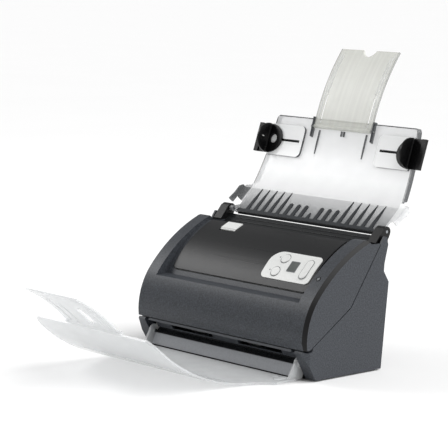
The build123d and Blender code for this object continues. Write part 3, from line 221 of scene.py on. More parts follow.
class ClearPlasticSettings(bpy.types.PropertyGroup):
    """Tints and clearness of the chute, its flip-up sheet and the tray"""

    chute: colour_property("Chute", "f3f4f5", "Tint of the clear chute")
    rim: colour_property("Rim", "3f4245", "Colour of the chute's turned rim seen edge on")
    pad: colour_property("Pads", "f8f9f9", "Colour of the raised pads under the paper guides")
    # The wing-inside grey is painted shade: it darkens the inner faces of the wings, the left wing and the
    # foot of the chute
    cheek: colour_property("Wing inside", "55585a", "Colour of the inner faces of the wings")
    extension: colour_property("Extension", "d6d7cf", "Tint of the flip-up sheet")
    tray: colour_property("Tray", "eceeef", "Tint of the clear tray and its stop")
    fingers: colour_property("Fingers", "2f3235", "Colour of the ribbed bar at the foot of the chute")
    face_on: share_property("Face-on opacity", 0.3, "How much a clear wall hides when seen square on")
    edge_on: share_property("Edge-on opacity", 0.9, "How much a clear wall hides when seen along it")
    edge_shade: share_property("Edge shade", 0.5, "How dark a clear wall turns when seen along it")
    outline: length_property("Edge line", 1.7, "Width of the darker line along the clear edges")


class WorksSettings(bpy.types.PropertyGroup):
    """Colours of the works inside"""

    steel: colour_property("Steel", "a5a8ac", "Colour of the shafts, pins and screws")
    zinc: colour_property("Zinc", "8d9196", "Colour of the plated side frames")
    rubber: colour_property("Rubber", "121212", "Colour of the feet and the belt")
    feed_rubber: colour_property("Feed rubber", "3b3e42", "Colour of the rubber tyres that move the sheet")
    nylon: colour_property("Nylon", "d8d4c4", "Colour of the gears and pulleys")
    glass: colour_property("Glass", "20302f", "Colour of the scan glass")
    sensor: colour_property("Sensor", "0b0c0d", "Colour of the scan bars")
    board: colour_property("Board", "0f4a2c", "Colour of the circuit boards")
    display: colour_property("Display", "454a47", "Colour of the little display window")
    lens: colour_property("Lens", "75797c", "Colour of the status light's lens")


class PanelMarkSettings(bpy.types.PropertyGroup):
    """Sizes of the print on the control panel"""

    mark: colour_property("Marks", "6d7073", "Colour of the printed outlines and arrows")
    outline: length_property("Outline", 0.45, "Width of the printed outline round each button")
    arrow: length_property("Arrow", 2.2, "Length of the small arrow beside each round button")
    print_height: length_property("Print height", 0.06, "How far the print stands above the panel")
    bezel: length_property("Bezel", 0.7, "Width of the frame round the display")


class RidgeSettings(bpy.types.PropertyGroup):
    """Heights of the small moulded ridges, bosses and rings"""

    ramp_ridge: length_property("Ramp ridge", 0.35, "Height of the ridges across the exit ramp")
    mouth_ridge: length_property("Mouth ridge", 0.6, "Height of the ridges along the paper mouth")
    sheet_ridge: length_property("Sheet ridge", 0.4, "Height of the ridges on the clear sheets")
    tray_boss: length_property("Tray boss", 0.8, "Height of the oval bosses at the tray's ears")
    guide_ring: length_property("Guide ring", 0.3, "Height of the ring round each guide's hole")


class StudioSettings(bpy.types.PropertyGroup):
    """Camera, floor and lights"""

    eye: FloatVectorProperty(
        name="Camera place", description="Where the camera stands", subtype="TRANSLATION", unit="LENGTH",
        size=3, default=(1.458871, -1.369624, 0.423076),
    )
    azimuth: angle_property("Azimuth", 0.81520, "Turn of the camera round the scanner")
    elevation: angle_property("Elevation", 0.13540, "Height of the camera above the floor as an angle")
    roll: angle_property("Roll", 0.02, "Tilt of the camera about its view")
    lens: FloatProperty(
        name="Lens", description="Focal length", subtype="DISTANCE_CAMERA", default=153.05
    )
    floor: colour_property("Floor", "f4f4f4", "Colour of the pale floor")
    floor_reach: FloatProperty(
        name="Floor reach", description="Radius of the floor", subtype="DISTANCE", unit="LENGTH",
        default=40.0,
    )
    room_light: FloatProperty(
        name="Room light", description="Strength of the even light", min=0.0, default=0.45
    )
    key_light: FloatProperty(
        name="Key light", description="Strength of the wide soft light from the right", min=0.0, default=2.9
    )
    key_spread: angle_property("Key spread", radians(70), "Width of the key light as an angle")
    left_light: FloatProperty(
        name="Left light", description="Power of the soft light that draws the sheen of the nose",
        subtype="POWER", unit="POWER", default=10.0,
    )


SETTINGS = {
    "scanner_moulding": MouldingSettings,
    "scanner_clear": ClearPlasticSettings,
    "scanner_works": WorksSettings,
    "scanner_marks": PanelMarkSettings,
    "scanner_ridges": RidgeSettings,
    "scanner_studio": StudioSettings,
}


def mm(length):
    """A length in metres as millimetres."""
    return length * 1000


# Places on the scanner
class Seat:
    """A flat place on the scanner: X along the machine, Y along the surface, Z out of it."""

    def __init__(self, x, y, z, outward):
        self.origin = Vector((x, y, z))
        self.out = Vector(outward).normalized()
        self.right = Vector((1, 0, 0))
        self.along = self.out.cross(self.right)

    def at(self, u, v, w=0.0):
        """Point at u to the right, v along the surface and w out of it."""
        return self.origin + self.right * u + self.along * v + self.out * w


def out_from(centre, reach, angle):
    """Point at a distance from a centre, in the direction of an angle in degrees."""
    return (centre[0] + reach * cos(radians(angle)), centre[1] + reach * sin(radians(angle)))


def circle_through(first, second, third):
    """Centre and radius of the circle through three points."""
    (ax, ay), (bx, by), (cx, cy) = first, second, third
    d = 2 * (ax * (by - cy) + bx * (cy - ay) + cx * (ay - by))
    sa, sb, sc = ax * ax + ay * ay, bx * bx + by * by, cx * cx + cy * cy
    x = (sa * (by - cy) + sb * (cy - ay) + sc * (ay - by)) / d
    y = (sa * (cx - bx) + sb * (ax - cx) + sc * (bx - ax)) / d
    return (x, y), ((ax - x) ** 2 + (ay - y) ** 2) ** 0.5


def bearing(centre, point):
    """Direction of a point from a centre, in degrees."""
    return degrees(atan2(point[1] - centre[1], point[0] - centre[0]))


RECESS_CENTRE, RECESS_RADIUS = circle_through(*RECESS_ARC)
RECESS_LOW = bearing(RECESS_CENTRE, RECESS_ARC[0])
RECESS_RUN = radians(RECESS_LOW - bearing(RECESS_CENTRE, RECESS_ARC[2])) * RECESS_RADIUS
CHUTE_BEND = out_from(CHUTE_FOOT, CHUTE_LOWER[0], CHUTE_LOWER[1])
CHUTE_CENTRE = out_from(CHUTE_BEND, CHUTE_RADIUS, CHUTE_SLOPES[0] + 90)
CHUTE_TOP = CHUTE_SLOPES[0] - 90 + CHUTE_SLOPES[1]
CHUTE_HEIGHTS = (CHUTE_BEND[1] + TAPER_START, out_from(CHUTE_CENTRE, CHUTE_RADIUS, CHUTE_TOP)[1])


def recess_seat(x, run, rise):
    """Place on the recess plate, run above its low edge and rise out of it."""
    angle = RECESS_LOW - degrees(run / RECESS_RADIUS)
    y, z = out_from(RECESS_CENTRE, RECESS_RADIUS + rise, angle)
    return Seat(x, y, z, (0, cos(radians(angle)), sin(radians(angle))))


def panel_seat(x, run_shift):
    """Place on the face of the white control panel."""
    return recess_seat(x, RECESS_RUN * PANEL_SHARE + run_shift, PANEL_RISE)


def lens_seat():
    """Place of the status light on the crown of the cover."""
    centre = out_from(NOSE_CENTRE, NOSE_RADIUS - CROWN_RADIUS, CROWN_START)
    angle = CROWN_START - LENS_PLACE[1]
    y, z = out_from(centre, CROWN_RADIUS, angle)
    return Seat(LENS_PLACE[0], y, z, (0, cos(radians(angle)), sin(radians(angle))))


def chute_seat(x, drop, front=0.0):
    """Place on the curved part of the chute, drop below its top edge and in front of it."""
    angle = CHUTE_TOP - degrees(drop / CHUTE_RADIUS)
    y, z = out_from(CHUTE_CENTRE, CHUTE_RADIUS - front, angle)
    return Seat(x, y, z, (0, -cos(radians(angle)), -sin(radians(angle))))


def chute_drop_at(height):
    """How far below the chute's top edge a height lies, along the curve."""
    angle = degrees(asin((height - CHUTE_CENTRE[1]) / CHUTE_RADIUS))
    return radians(CHUTE_TOP - angle) * CHUTE_RADIUS


def guide_drop():
    """How far below the chute's top edge the middle of the paper guides lies."""
    return sum(chute_drop_at(height) for height in GUIDE_HEIGHTS) / 2


def tray_seat(x, angle, above=0.0):
    """Place on the curved tray, at an angle forward from below its centre."""
    turn = radians(-90 - angle)
    y, z = out_from(TRAY_CENTRE, TRAY_RADIUS - above, -90 - angle)
    return Seat(x, y, z, (0, -cos(turn), -sin(turn)))


def bent_run(x, low, top, centre, radius, lift, start, turn):
    """Seats along a bent sheet, from low to top, facing the side that lift points to."""
    steps = 12
    side = 1 if lift > 0 else -1
    seats = []
    for k in range(steps + 1):
        run = low + (top - low) * k / steps
        angle = start + turn * degrees(run / radius)
        y, z = out_from(centre, radius + lift, angle)
        seats.append(Seat(x, y, z, (0, side * cos(radians(angle)), side * sin(radians(angle)))))
    return seats


# Shapes of the small pieces
class Shape:
    """Faces gathered in millimetres before they become one mesh."""

    def __init__(self):
        self.points = []
        self.faces = []

    def add(self, points, faces):
        """Points, and faces that count from the first of them."""
        first = len(self.points)
        self.points.extend(points)
        self.faces.extend(tuple(first + i for i in face) for face in faces)
        return self

    def plate(self, seat, outline, low, high):
        """Raised plate with an outline in the seat's plane."""
        n = len(outline)
        points = [seat.at(u, v, low) for u, v in outline] + [seat.at(u, v, high) for u, v in outline]
        sides = [(i, (i + 1) % n, n + (i + 1) % n, n + i) for i in range(n)]
        return self.add(points, sides + [tuple(reversed(range(n))), tuple(range(n, 2 * n))])

    def band(self, seat, outer, inner, low, high):
        """Raised band between two outlines with as many points each."""
        n = len(outer)
        points = []
        for height in (low, high):
            points += [seat.at(u, v, height) for u, v in outer]
            points += [seat.at(u, v, height) for u, v in inner]
        faces = []
        for i in range(n):
            j = (i + 1) % n
            faces.append((i, j, 2 * n + j, 2 * n + i))
            faces.append((n + j, n + i, 3 * n + i, 3 * n + j))
            faces.append((2 * n + i, 2 * n + j, 3 * n + j, 3 * n + i))
            faces.append((j, i, n + i, n + j))
        return self.add(points, faces)

    def ridge(self, seats, width, height, sink=0.2, across=True):
        """Low rounded ridge that runs through seats, tapered at its ends."""
        root = -sink / height
        half = [(-0.5, root), (-0.5, 0.25), (-0.3, 0.82)]
        profile = half + [(0.0, 1.0)] + [(-side, rise) for side, rise in reversed(half)]
        n = len(profile)
        points = []
        last = len(seats) - 1
        for k, seat in enumerate(seats):
            share = 0.45 if k in (0, last) else 1.0
            for side, rise in profile:
                reach = side * width * share
                u, v = (reach, 0.0) if across else (0.0, reach)
                points.append(seat.at(u, v, rise * height * (share if rise > 0 else 1.0)))
        faces = []
        for k in range(last):
            for i in range(n):
                j = (i + 1) % n
                faces.append((k * n + i, k * n + j, (k + 1) * n + j, (k + 1) * n + i))
        faces.append(tuple(reversed(range(n))))
        faces.append(tuple(range(last * n, last * n + n)))
        return self.add(points, faces)

    def seam(self, outer, inner, low, high):
        """Open band on the curved recess between two lines of (x, run) with as many points each."""
        n = len(outer)
        points = []
        for line, height in ((outer, low), (inner, low), (outer, high), (inner, high)):
            points += [recess_seat(x, run, height).origin for x, run in line]
        faces = [(0, 2 * n, 3 * n, n), (n - 1, 2 * n - 1, 4 * n - 1, 3 * n - 1)]
        for i in range(n - 1):
            faces.append((i, i + 1, 2 * n + i + 1, 2 * n + i))
            faces.append((n + i, 3 * n + i, 3 * n + i + 1, n + i + 1))
            faces.append((2 * n + i, 2 * n + i + 1, 3 * n + i + 1, 3 * n + i))
        return self.add(points, faces)

    def mirrored(self):
        """The same shape on the other side of the machine."""
        points = [Vector((-p.x, p.y, p.z)) for p in self.points]
        return Shape().add(points, [tuple(reversed(face)) for face in self.faces])


def rounded_rectangle(width, height, corner, steps=6):
    """Outline of a rectangle with round corners, about its middle."""
    spots = []
    for cx, cy, first in ((1, 1, 0), (-1, 1, 90), (-1, -1, 180), (1, -1, 270)):
        for k in range(steps + 1):
            angle = radians(first + 90 * k / steps)
            u = cx * (width / 2 - corner) + corner * cos(angle)
            v = cy * (height / 2 - corner) + corner * sin(angle)
            spots.append((u, v))
    return spots


def circle(radius, steps=32):
    """Outline of a circle about its middle."""
    return [(radius * cos(2 * pi * k / steps), radius * sin(2 * pi * k / steps)) for k in range(steps)]


def plate_edge(widen):
    """Line down one side of the recess plate, round its lower corners and up the other side."""
    half, low, corner = PLATE_HALF + widen, PLATE_LOW - widen, PLATE_CORNER + widen
    high = RECESS_RUN - PLATE_TOP_GAP
    side = [(half, high + (low + corner - high) * k / 12) for k in range(12)]
    turns = [radians(degree) for degree in range(0, 91, 10)]
    turn = [(half - corner + corner * cos(a), low + corner - corner * sin(a)) for a in turns]
    half_line = side + turn
    return half_line + [(-x, run) for x, run in reversed(half_line)]


def make_piece(name, shape, body, finish, softness=0.08):
    """Mesh object of a shape, softened at its edges, that rides on a body."""
    mesh = bpy.data.meshes.new(name)
    places = [((p + Vector((0, FORWARD, 0))) / 1000)[:] for p in shape.points]
    mesh.from_pydata(places, [], shape.faces)
    mesh.validate()
    mesh.update()
    piece = bpy.data.objects.new(name, mesh)
    bpy.context.collection.objects.link(piece)
    mesh.materials.append(finish.material)
    for polygon in mesh.polygons:
        polygon.use_smooth = True
    if softness:
        round_edges(piece, softness / 1000, 35)
    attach(piece, body)
    return piece


def round_edges(thing, radius, sharpest):
    """Rounded edges with even shading, where faces meet at more than an angle."""
    soften = thing.modifiers.new("Softened edges", "BEVEL")
    soften.width = radius
    soften.segments = 2
    soften.limit_method = "ANGLE"
    soften.angle_limit = radians(sharpest)
    even = thing.modifiers.new("Even shading", "WEIGHTED_NORMAL")
    even.keep_sharp = True


def soften_nodes(radius, *nodes):
    """Round the moulded edges of the scanner's solids a little."""
    for name in nodes:
        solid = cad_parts[name]
        join = solid.modifiers.new("Joined corners", "WELD")
        join.merge_threshold = 0.00001
        round_edges(solid, radius, 38)


def dress(finish, *nodes):
    """Give the scanner's solids a finish in place of their plain one."""
    for name in nodes:
        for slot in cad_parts[name].material_slots:
            slot.material = finish.material


# Finishes
def lit(colour, share, floor=0.0):
    """A colour made lighter, up to white."""
    return tuple(min(c * share + floor, 1.0) for c in colour[:3]) + (1.0,)


def dimmed(colour, share):
    """A colour made darker."""
    return tuple(c * share for c in colour[:3]) + (1.0,)


class Finish:
    """A node material under construction."""

    def __init__(self, name, colour, roughness, metallic=0.0, ior=1.38, coat=0.0):
        self.material = bpy.data.materials.new(name)
        self.material.use_nodes = True
        self.tree = self.material.node_tree
        self.shader = next(n for n in self.tree.nodes if n.type == "BSDF_PRINCIPLED")
        self.inputs = self.shader.inputs
        self.inputs["Base Color"].default_value = colour
        self.inputs["Roughness"].default_value = roughness
        self.inputs["Metallic"].default_value = metallic
        self.inputs["IOR"].default_value = ior
        self.inputs["Coat Weight"].default_value = coat
        self.inputs["Coat Roughness"].default_value = 0.12
        self.material.diffuse_color = colour
        self.place = self.node("ShaderNodeTexCoord")
        self.along = None
        self.opacity = None

    def node(self, kind, **values):
        """New node with some of its settings."""
        made = self.tree.nodes.new(kind)
        for key, value in values.items():
            setattr(made, key, value)
        return made

    def link(self, source, target):
        """Wire from one socket to another."""
        self.tree.links.new(source, target)

    def wire(self, socket, source):
        """Wire into one of the shader's sockets."""
        self.link(source, self.inputs[socket])

    def noise(self, size, detail=3.0, stretch=None):
        """Noise with features of a size in metres, stretched along one axis if asked."""
        noise = self.node("ShaderNodeTexNoise")
        noise.inputs["Scale"].default_value = 1.0 / size
        noise.inputs["Detail"].default_value = detail
        source = self.place.outputs["Object"]
        if stretch:
            mapping = self.node("ShaderNodeMapping")
            mapping.inputs["Scale"].default_value = stretch
            self.link(source, mapping.inputs["Vector"])
            source = mapping.outputs["Vector"]
        self.link(source, noise.inputs["Vector"])
        return noise.outputs["Fac"]

    def math(self, operation, first, second=None, third=None):
        """Sum, product or other reckoning with values and numbers."""
        node = self.node("ShaderNodeMath", operation=operation)
        for index, value in enumerate((first, second, third)):
            if value is None:
                continue
            if isinstance(value, (int, float)):
                node.inputs[index].default_value = value
            else:
                self.link(value, node.inputs[index])
        return node.outputs[0]

    def above(self, value, limit):
        """Mask of where a value is above a limit."""
        return self.math("GREATER_THAN", value, limit)

    def below(self, value, limit):
        """Mask of where a value is below a limit."""
        return self.math("LESS_THAN", value, limit)

    def both(self, first, *others):
        """Mask of where all of some masks are."""
        for mask in others:
            first = self.math("MULTIPLY", first, mask)
        return first

    def most(self, first, *others):
        """The highest of some values."""
        for value in others:
            first = self.math("MAXIMUM", first, value)
        return first

    def size(self, value):
        """A value without its sign."""
        return self.math("ABSOLUTE", value)

    def spread(self, source, low, high, start=0.0, end=1.0):
        """Value that goes from low to high while the source goes from start to end."""
        node = self.node("ShaderNodeMapRange")
        node.inputs["From Min"].default_value = start
        node.inputs["From Max"].default_value = end
        node.inputs["To Min"].default_value = low
        node.inputs["To Max"].default_value = high
        self.link(source, node.inputs["Value"])
        return node.outputs["Result"]

    def blend(self, share, first, second):
        """Mix of two colours by a share."""
        node = self.node("ShaderNodeMix", data_type="RGBA")
        self.link(share, node.inputs["Factor"])
        colours = [s for s in node.inputs if s.type == "RGBA"]
        for value, socket in zip((first, second), colours):
            if isinstance(value, (tuple, list)):
                socket.default_value = value
            else:
                self.link(value, socket)
        return next(s for s in node.outputs if s.type == "RGBA")

    def mottle(self, colour, amount, size):
        """The colour with soft lighter and darker patches."""
        patches = self.spread(self.noise(size), 0.0, 1.0, 0.3, 0.7)
        return self.blend(patches, dimmed(colour, 1 - amount), lit(colour, 1 + amount))

    def speckle(self, colour, amount, grain):
        """The colour with its fine grain and the coarser specks that show from a step away."""
        specks = self.noise(grain * 3.4, 1.0)
        coarse = self.spread(specks, 1.0 - 1.6 * amount, 1.0 + 1.6 * amount, 0.3, 0.7)
        return self.scaled(self.mottle(colour, amount, grain * 2), coarse)

    def scaled(self, colour, share):
        """A colour made lighter or darker by a value."""
        node = self.node("ShaderNodeVectorMath", operation="SCALE")
        self.link(colour, node.inputs[0])
        self.link(share, node.inputs["Scale"])
        return node.outputs[0]

    def bump(self, height, strength, depth):
        """Relief of a depth in metres."""
        node = self.node("ShaderNodeBump")
        node.inputs["Strength"].default_value = strength
        node.inputs["Distance"].default_value = depth
        self.link(height, node.inputs["Height"])
        self.wire("Normal", node.outputs["Normal"])

    def split(self, output):
        """The three parts of a place or a direction."""
        node = self.node("ShaderNodeSeparateXYZ")
        self.link(self.place.outputs[output], node.inputs[0])
        return node.outputs


def moulded_plastic(name, colour, roughness, grain, depth=0.00006, strength=0.35, amount=0.1):
    """Injection-moulded plastic with a fine spark-eroded grain."""
    colour = tuple(colour)
    finish = Finish(name, colour, roughness)
    relief = finish.noise(grain, 2.0)
    finish.wire("Base Color", finish.speckle(colour, amount, grain))
    finish.wire("Roughness", finish.spread(relief, roughness - 0.07, roughness + 0.09, 0.3, 0.7))
    finish.bump(relief, strength, depth)
    return finish


def housing_plastic(settings):
    """Grained charcoal, black on the two arms that hold the chute."""
    charcoal = tuple(settings.charcoal)
    finish = moulded_plastic("grained_charcoal", charcoal, settings.gloss, settings.grain, amount=SPECKS)
    place = finish.split("Object")
    across = finish.size(place[0])
    arm = finish.both(
        finish.above(across, ARM_ACROSS[0] / 1000),
        finish.below(across, ARM_ACROSS[1] / 1000),
        finish.above(place[2], ARM_HEIGHT / 1000),
    )
    shade = finish.speckle(charcoal, SPECKS, settings.grain)
    finish.wire("Base Color", finish.blend(arm, shade, tuple(settings.black)))
    return finish


def cover_plastic(settings):
    """Grained charcoal, near black on the slanted band beside the side leaves."""
    charcoal = tuple(settings.charcoal)
    finish = moulded_plastic("grained_charcoal_cover", charcoal, settings.gloss, settings.grain)
    lean = finish.size(finish.split("Normal")[0])
    rising = finish.spread(lean, 0.0, 1.0, *BAND_LEAN)
    falling = finish.spread(lean, 1.0, 0.0, *LEAF_LEAN)
    outer = finish.above(finish.size(finish.split("Object")[0]), BAND_ACROSS / 1000)
    shade = finish.speckle(charcoal, SPECKS, settings.grain)
    band = finish.both(rising, falling, outer)
    finish.wire("Base Color", finish.blend(band, shade, tuple(settings.bevel_black)))
    return finish


def ramp_plastic(settings):
    """Satin grey, with painted shade on its top strip under the paper exit."""
    grey = tuple(settings.grey)
    grain = settings.grain * 2
    finish = moulded_plastic("satin_grey", grey, 0.3, grain, strength=0.12, amount=0.04)
    height = finish.split("Object")[2]
    # Painted shade: the ramp's top strip under the exit turns dark grey
    under_exit = finish.spread(height, 0.0, 1.0, RAMP_SHADE[0] / 1000, RAMP_SHADE[1] / 1000)
    shade = finish.blend(under_exit, finish.mottle(grey, 0.05, grain * 3), tuple(settings.painted_shade_grey))
    finish.wire("Base Color", shade)
    return finish


def clear_plastic(name, tint, settings, roughness=0.12, haze=0.0):
    """Clear moulded sheet: thin to look through square on, solid when seen along it."""
    tint = tuple(tint)
    finish = Finish(name, tint, roughness, ior=1.5)
    ripple = finish.noise(0.018, 1.0)
    finish.wire("Roughness", finish.spread(ripple, roughness - 0.04, roughness + 0.06, 0.3, 0.7))
    finish.bump(ripple, 0.12, 0.0004)
    edge = finish.node("ShaderNodeLayerWeight")
    edge.inputs["Blend"].default_value = 0.35
    facing = edge.outputs["Facing"]
    finish.along = finish.spread(facing, 0.0, settings.edge_shade, 0.45, 1.0)
    shade = finish.blend(finish.along, finish.mottle(tint, 0.03, 0.02), tuple(settings.rim))
    finish.wire("Base Color", shade)
    face_on = min(settings.face_on + haze, 1.0)
    finish.opacity = finish.spread(facing, face_on, settings.edge_on, 0.12, 0.95)
    finish.wire("Alpha", finish.opacity)
    finish.material.surface_render_method = "BLENDED"
    return finish


def extension_plastic(settings):
    """Faintly yellow clear sheet with fine lines along it and a darker line at each side."""
    tint = tuple(settings.extension)
    finish = clear_plastic("clear_extension", tint, settings, 0.34, 0.15)
    lines = finish.noise(0.0035, 1.0, stretch=(1.0, 0.03, 0.03))
    side = finish.size(finish.split("Object")[0])
    edge = finish.above(side, EXTENSION_HALF / 1000 - THIN_LINE * settings.outline)
    shade = finish.scaled(finish.mottle(tint, 0.02, 0.02), finish.spread(lines, 0.93, 1.03, 0.35, 0.65))
    shade = finish.blend(finish.math("MULTIPLY", edge, 0.55), shade, tuple(settings.rim))
    finish.wire("Base Color", shade)
    finish.bump(lines, 0.15, 0.0002)
    return finish


def guide_slot_mask(finish, across, y, z):
    """The slot that each paper guide slides in, where black is painted as shade."""
    turn = CHUTE_TOP - degrees(guide_drop() / CHUTE_RADIUS)
    slot_y, slot_z = out_from(CHUTE_CENTRE, CHUTE_RADIUS - CHUTE_FRONT, turn)
    slope = radians(turn + 90)
    along_y = finish.math("MULTIPLY", finish.math("SUBTRACT", y, (slot_y + FORWARD) / 1000), cos(slope))
    along = finish.math("MULTIPLY_ADD", finish.math("SUBTRACT", z, slot_z / 1000), sin(slope), along_y)
    return finish.both(
        finish.below(finish.size(along), SLOT_HALF / 1000),
        finish.above(across, SLOT_ENDS[0] / 1000),
        finish.below(across, SLOT_ENDS[1] / 1000),
    )


def chute_edge_mask(finish, across, z, width):
    """The line along the sloping sides and the top edge of the chute."""
    low, high = CHUTE_HEIGHTS
    taper = (CHUTE_HALVES[0] - CHUTE_HALVES[1]) / (high - low)
    climb = finish.math("SUBTRACT", z, low / 1000)
    side = finish.math("MULTIPLY_ADD", climb, -taper, CHUTE_HALVES[0] / 1000)
    beside = finish.above(finish.math("SUBTRACT", across, side), -width)
    beside = finish.both(beside, finish.above(z, low / 1000))
    return finish.most(beside, finish.above(z, high / 1000 - THIN_LINE * width))


def chute_plastic(settings):
    """Clear chute with its darker rim and white pads, and painted shade: black in its slots, grey on its
    wing insides, over its left wing and towards its foot.
    """
    finish = clear_plastic("clear_chute", settings.chute, settings, 0.16, 0.12)
    x, y, z = finish.split("Object")
    normal = finish.split("Normal")
    across = finish.size(x)

    # How far each spot lies from the axis that the chute curves round
    dy = finish.math("SUBTRACT", y, (CHUTE_CENTRE[0] + FORWARD) / 1000)
    dz = finish.math("SUBTRACT", z, CHUTE_CENTRE[1] / 1000)
    squares = finish.math("ADD", finish.math("MULTIPLY", dy, dy), finish.math("MULTIPLY", dz, dz))
    reach = finish.math("SQRT", squares)
    radial_y = finish.math("MULTIPLY", normal[1], finish.math("DIVIDE", dy, reach))
    radial = finish.math("MULTIPLY_ADD", normal[2], finish.math("DIVIDE", dz, reach), radial_y)
    curved = finish.above(z, (CHUTE_BEND[1] + CURVE_START) / 1000)

    rim = finish.both(finish.above(reach, RIM_REACH / 1000), curved)
    pad = finish.both(
        finish.below(reach, PAD_REACH / 1000), curved, finish.above(across, PAD_ACROSS / 1000)
    )
    # Rim grey on the pads' side walls: partly the look of clear walls seen along them, partly painted shade
    # along the pads' edges
    pad_wall = finish.both(pad, finish.below(finish.size(radial), WALL_LEAN))
    clip = finish.both(
        finish.below(reach, CLIP_REACH / 1000), curved, finish.below(across, CLIP_ACROSS / 1000)
    )
    # Painted shade: the chute turns to the wing-inside grey towards its foot
    foot = finish.both(
        finish.spread(z, 0.8, 0.0, FOOT_SHADE[0] / 1000, FOOT_SHADE[1] / 1000),
        finish.below(across, FOOT_ACROSS / 1000),
    )
    # Painted shade: the lower part of the left wing turns to the wing-inside grey
    left_wing_shade = finish.both(
        finish.below(x, -LEFT_WING_SHADE[0] / 1000), finish.below(z, LEFT_WING_SHADE[1] / 1000)
    )
    # Painted shade: the inner faces of the wings turn to the wing-inside grey
    inward = finish.math("MULTIPLY", finish.math("SIGN", x), normal[0])
    cheek = finish.both(finish.below(inward, -WALL_LEAN), finish.above(across, WING_ACROSS / 1000))
    edge = chute_edge_mask(finish, across, z, settings.outline)
    # Painted shade: black over the slot that each paper guide slides in
    slot = guide_slot_mask(finish, across, y, z)

    # Each layer covers the ones before it: where it is, its colour and how much it hides
    layers = (
        (foot, settings.cheek, 1.0),
        (edge, settings.rim, 0.7),
        (finish.along, settings.rim, 0.0),
        (clip, settings.rim, 0.9),
        (pad, settings.pad, 0.93),
        (rim, settings.rim, 0.62),
        (pad_wall, settings.rim, 0.0),
        (left_wing_shade, settings.cheek, 0.75),
        (cheek, settings.cheek, 0.8),
        (slot, SLOT_SHADE_BLACK, 1.0),
    )
    shade = finish.mottle(tuple(settings.chute), 0.03, 0.02)
    opacity = finish.opacity
    for mask, colour, cover in layers:
        shade = finish.blend(mask, shade, tuple(colour))
        if cover:
            opacity = finish.most(opacity, finish.math("MULTIPLY", mask, cover))
    finish.wire("Base Color", shade)
    finish.wire("Alpha", opacity)
    return finish


def brushed_metal(name, colour, roughness, grain):
    """Plated or turned metal with fine lines along the machine."""
    colour = tuple(colour)
    finish = Finish(name, colour, roughness, metallic=1.0)
    lines = finish.noise(grain, 4.0, stretch=(0.05, 1.0, 1.0))
    finish.wire("Base Color", finish.mottle(colour, 0.08, 0.006))
    finish.wire("Roughness", finish.spread(lines, roughness - 0.08, roughness + 0.12, 0.3, 0.7))
    finish.bump(lines, 0.15, 0.00003)
    return finish


def spangled_zinc(name, colour):
    """Zinc-plated sheet with its large pale spangles."""
    colour = tuple(colour)
    finish = Finish(name, colour, 0.4, metallic=1.0)
    cells = finish.node("ShaderNodeTexVoronoi")
    cells.inputs["Scale"].default_value = 160.0
    finish.link(finish.place.outputs["Object"], cells.inputs["Vector"])
    distance = cells.outputs["Distance"]
    finish.wire("Base Color", finish.blend(distance, lit(colour, 1.25), colour))
    finish.wire("Roughness", finish.spread(distance, 0.3, 0.5))
    finish.bump(finish.noise(0.001), 0.1, 0.00004)
    return finish


def ground_rubber(name, colour):
    """Ground rubber with fine cross lines."""
    colour = tuple(colour)
    finish = Finish(name, colour, 0.75)
    lines = finish.noise(0.0006, 3.0, stretch=(0.2, 1.0, 1.0))
    finish.wire("Base Color", finish.mottle(colour, 0.15, 0.003))
    finish.wire("Roughness", finish.spread(lines, 0.65, 0.85, 0.3, 0.7))
    finish.bump(lines, 0.5, 0.0001)
    return finish


def polished_glass(name, colour, roughness=0.05, coat=0.6):
    """Dark glass or glossy window with faint smears."""
    colour = tuple(colour)
    finish = Finish(name, colour, roughness, ior=1.45, coat=coat)
    smear = finish.noise(0.006, 2.0)
    finish.wire("Base Color", finish.mottle(colour, 0.12, 0.01))
    finish.wire("Roughness", finish.spread(smear, roughness, roughness + 0.1, 0.4, 0.8))
    finish.bump(smear, 0.03, 0.0001)
    return finish


def circuit_board(name, colour):
    """Green board with lighter tracks."""
    colour = tuple(colour)
    finish = Finish(name, colour, 0.35, coat=0.3)
    tracks = finish.node("ShaderNodeTexBrick")
    tracks.inputs["Scale"].default_value = 140.0
    tracks.inputs["Mortar Size"].default_value = 0.012
    tracks.inputs["Color1"].default_value = colour
    tracks.inputs["Color2"].default_value = dimmed(colour, 0.85)
    tracks.inputs["Mortar"].default_value = lit(colour, 1.9, 0.01)
    finish.link(finish.place.outputs["Object"], tracks.inputs["Vector"])
    finish.wire("Base Color", tracks.outputs["Color"])
    finish.wire("Roughness", finish.spread(tracks.outputs["Fac"], 0.35, 0.25))
    finish.bump(tracks.outputs["Fac"], 0.2, 0.00005)
    return finish


# Small mouldings and print
def button_outlines(wide, high):
    """Printed outlines round the two round buttons and the long scan button."""
    outlines = Shape()
    for x, shift in ROUND_BUTTONS:
        outer, inner = circle(ROUND_BUTTON_RADIUS + wide), circle(ROUND_BUTTON_RADIUS)
        outlines.band(panel_seat(x, shift), outer, inner, -PRINT_SINK, high)
    width, height = SCAN_BUTTON_SIZE
    ovals = []
    for margin in (2 * wide, 0.0):
        ovals.append(rounded_rectangle(width + margin, height + margin, (width + margin) / 2 - 0.01, 10))
    return outlines.band(panel_seat(*SCAN_BUTTON), ovals[0], ovals[1], -PRINT_SINK, high)


def button_arrows(long, high):
    """Small printed arrow beside each round button."""
    head = [(-long / 2, 0), (long / 2, -long * 0.45), (long / 2, long * 0.45)]
    arrows = Shape()
    for x, shift in ARROWS:
        arrows.plate(panel_seat(x, shift), head, -PRINT_SINK, high)
    return arrows


def display_frame(wide):
    """Raised frame round the display."""
    width, height = DISPLAY_SIZE
    outer = rounded_rectangle(width + 2 * wide, height + 2 * wide, 1.0)
    inner = rounded_rectangle(width - 0.2, height - 0.2, 0.4)
    return Shape().band(panel_seat(DISPLAY_ACROSS, 0.0), outer, inner, -0.3, DISPLAY_FRAME_RISE)


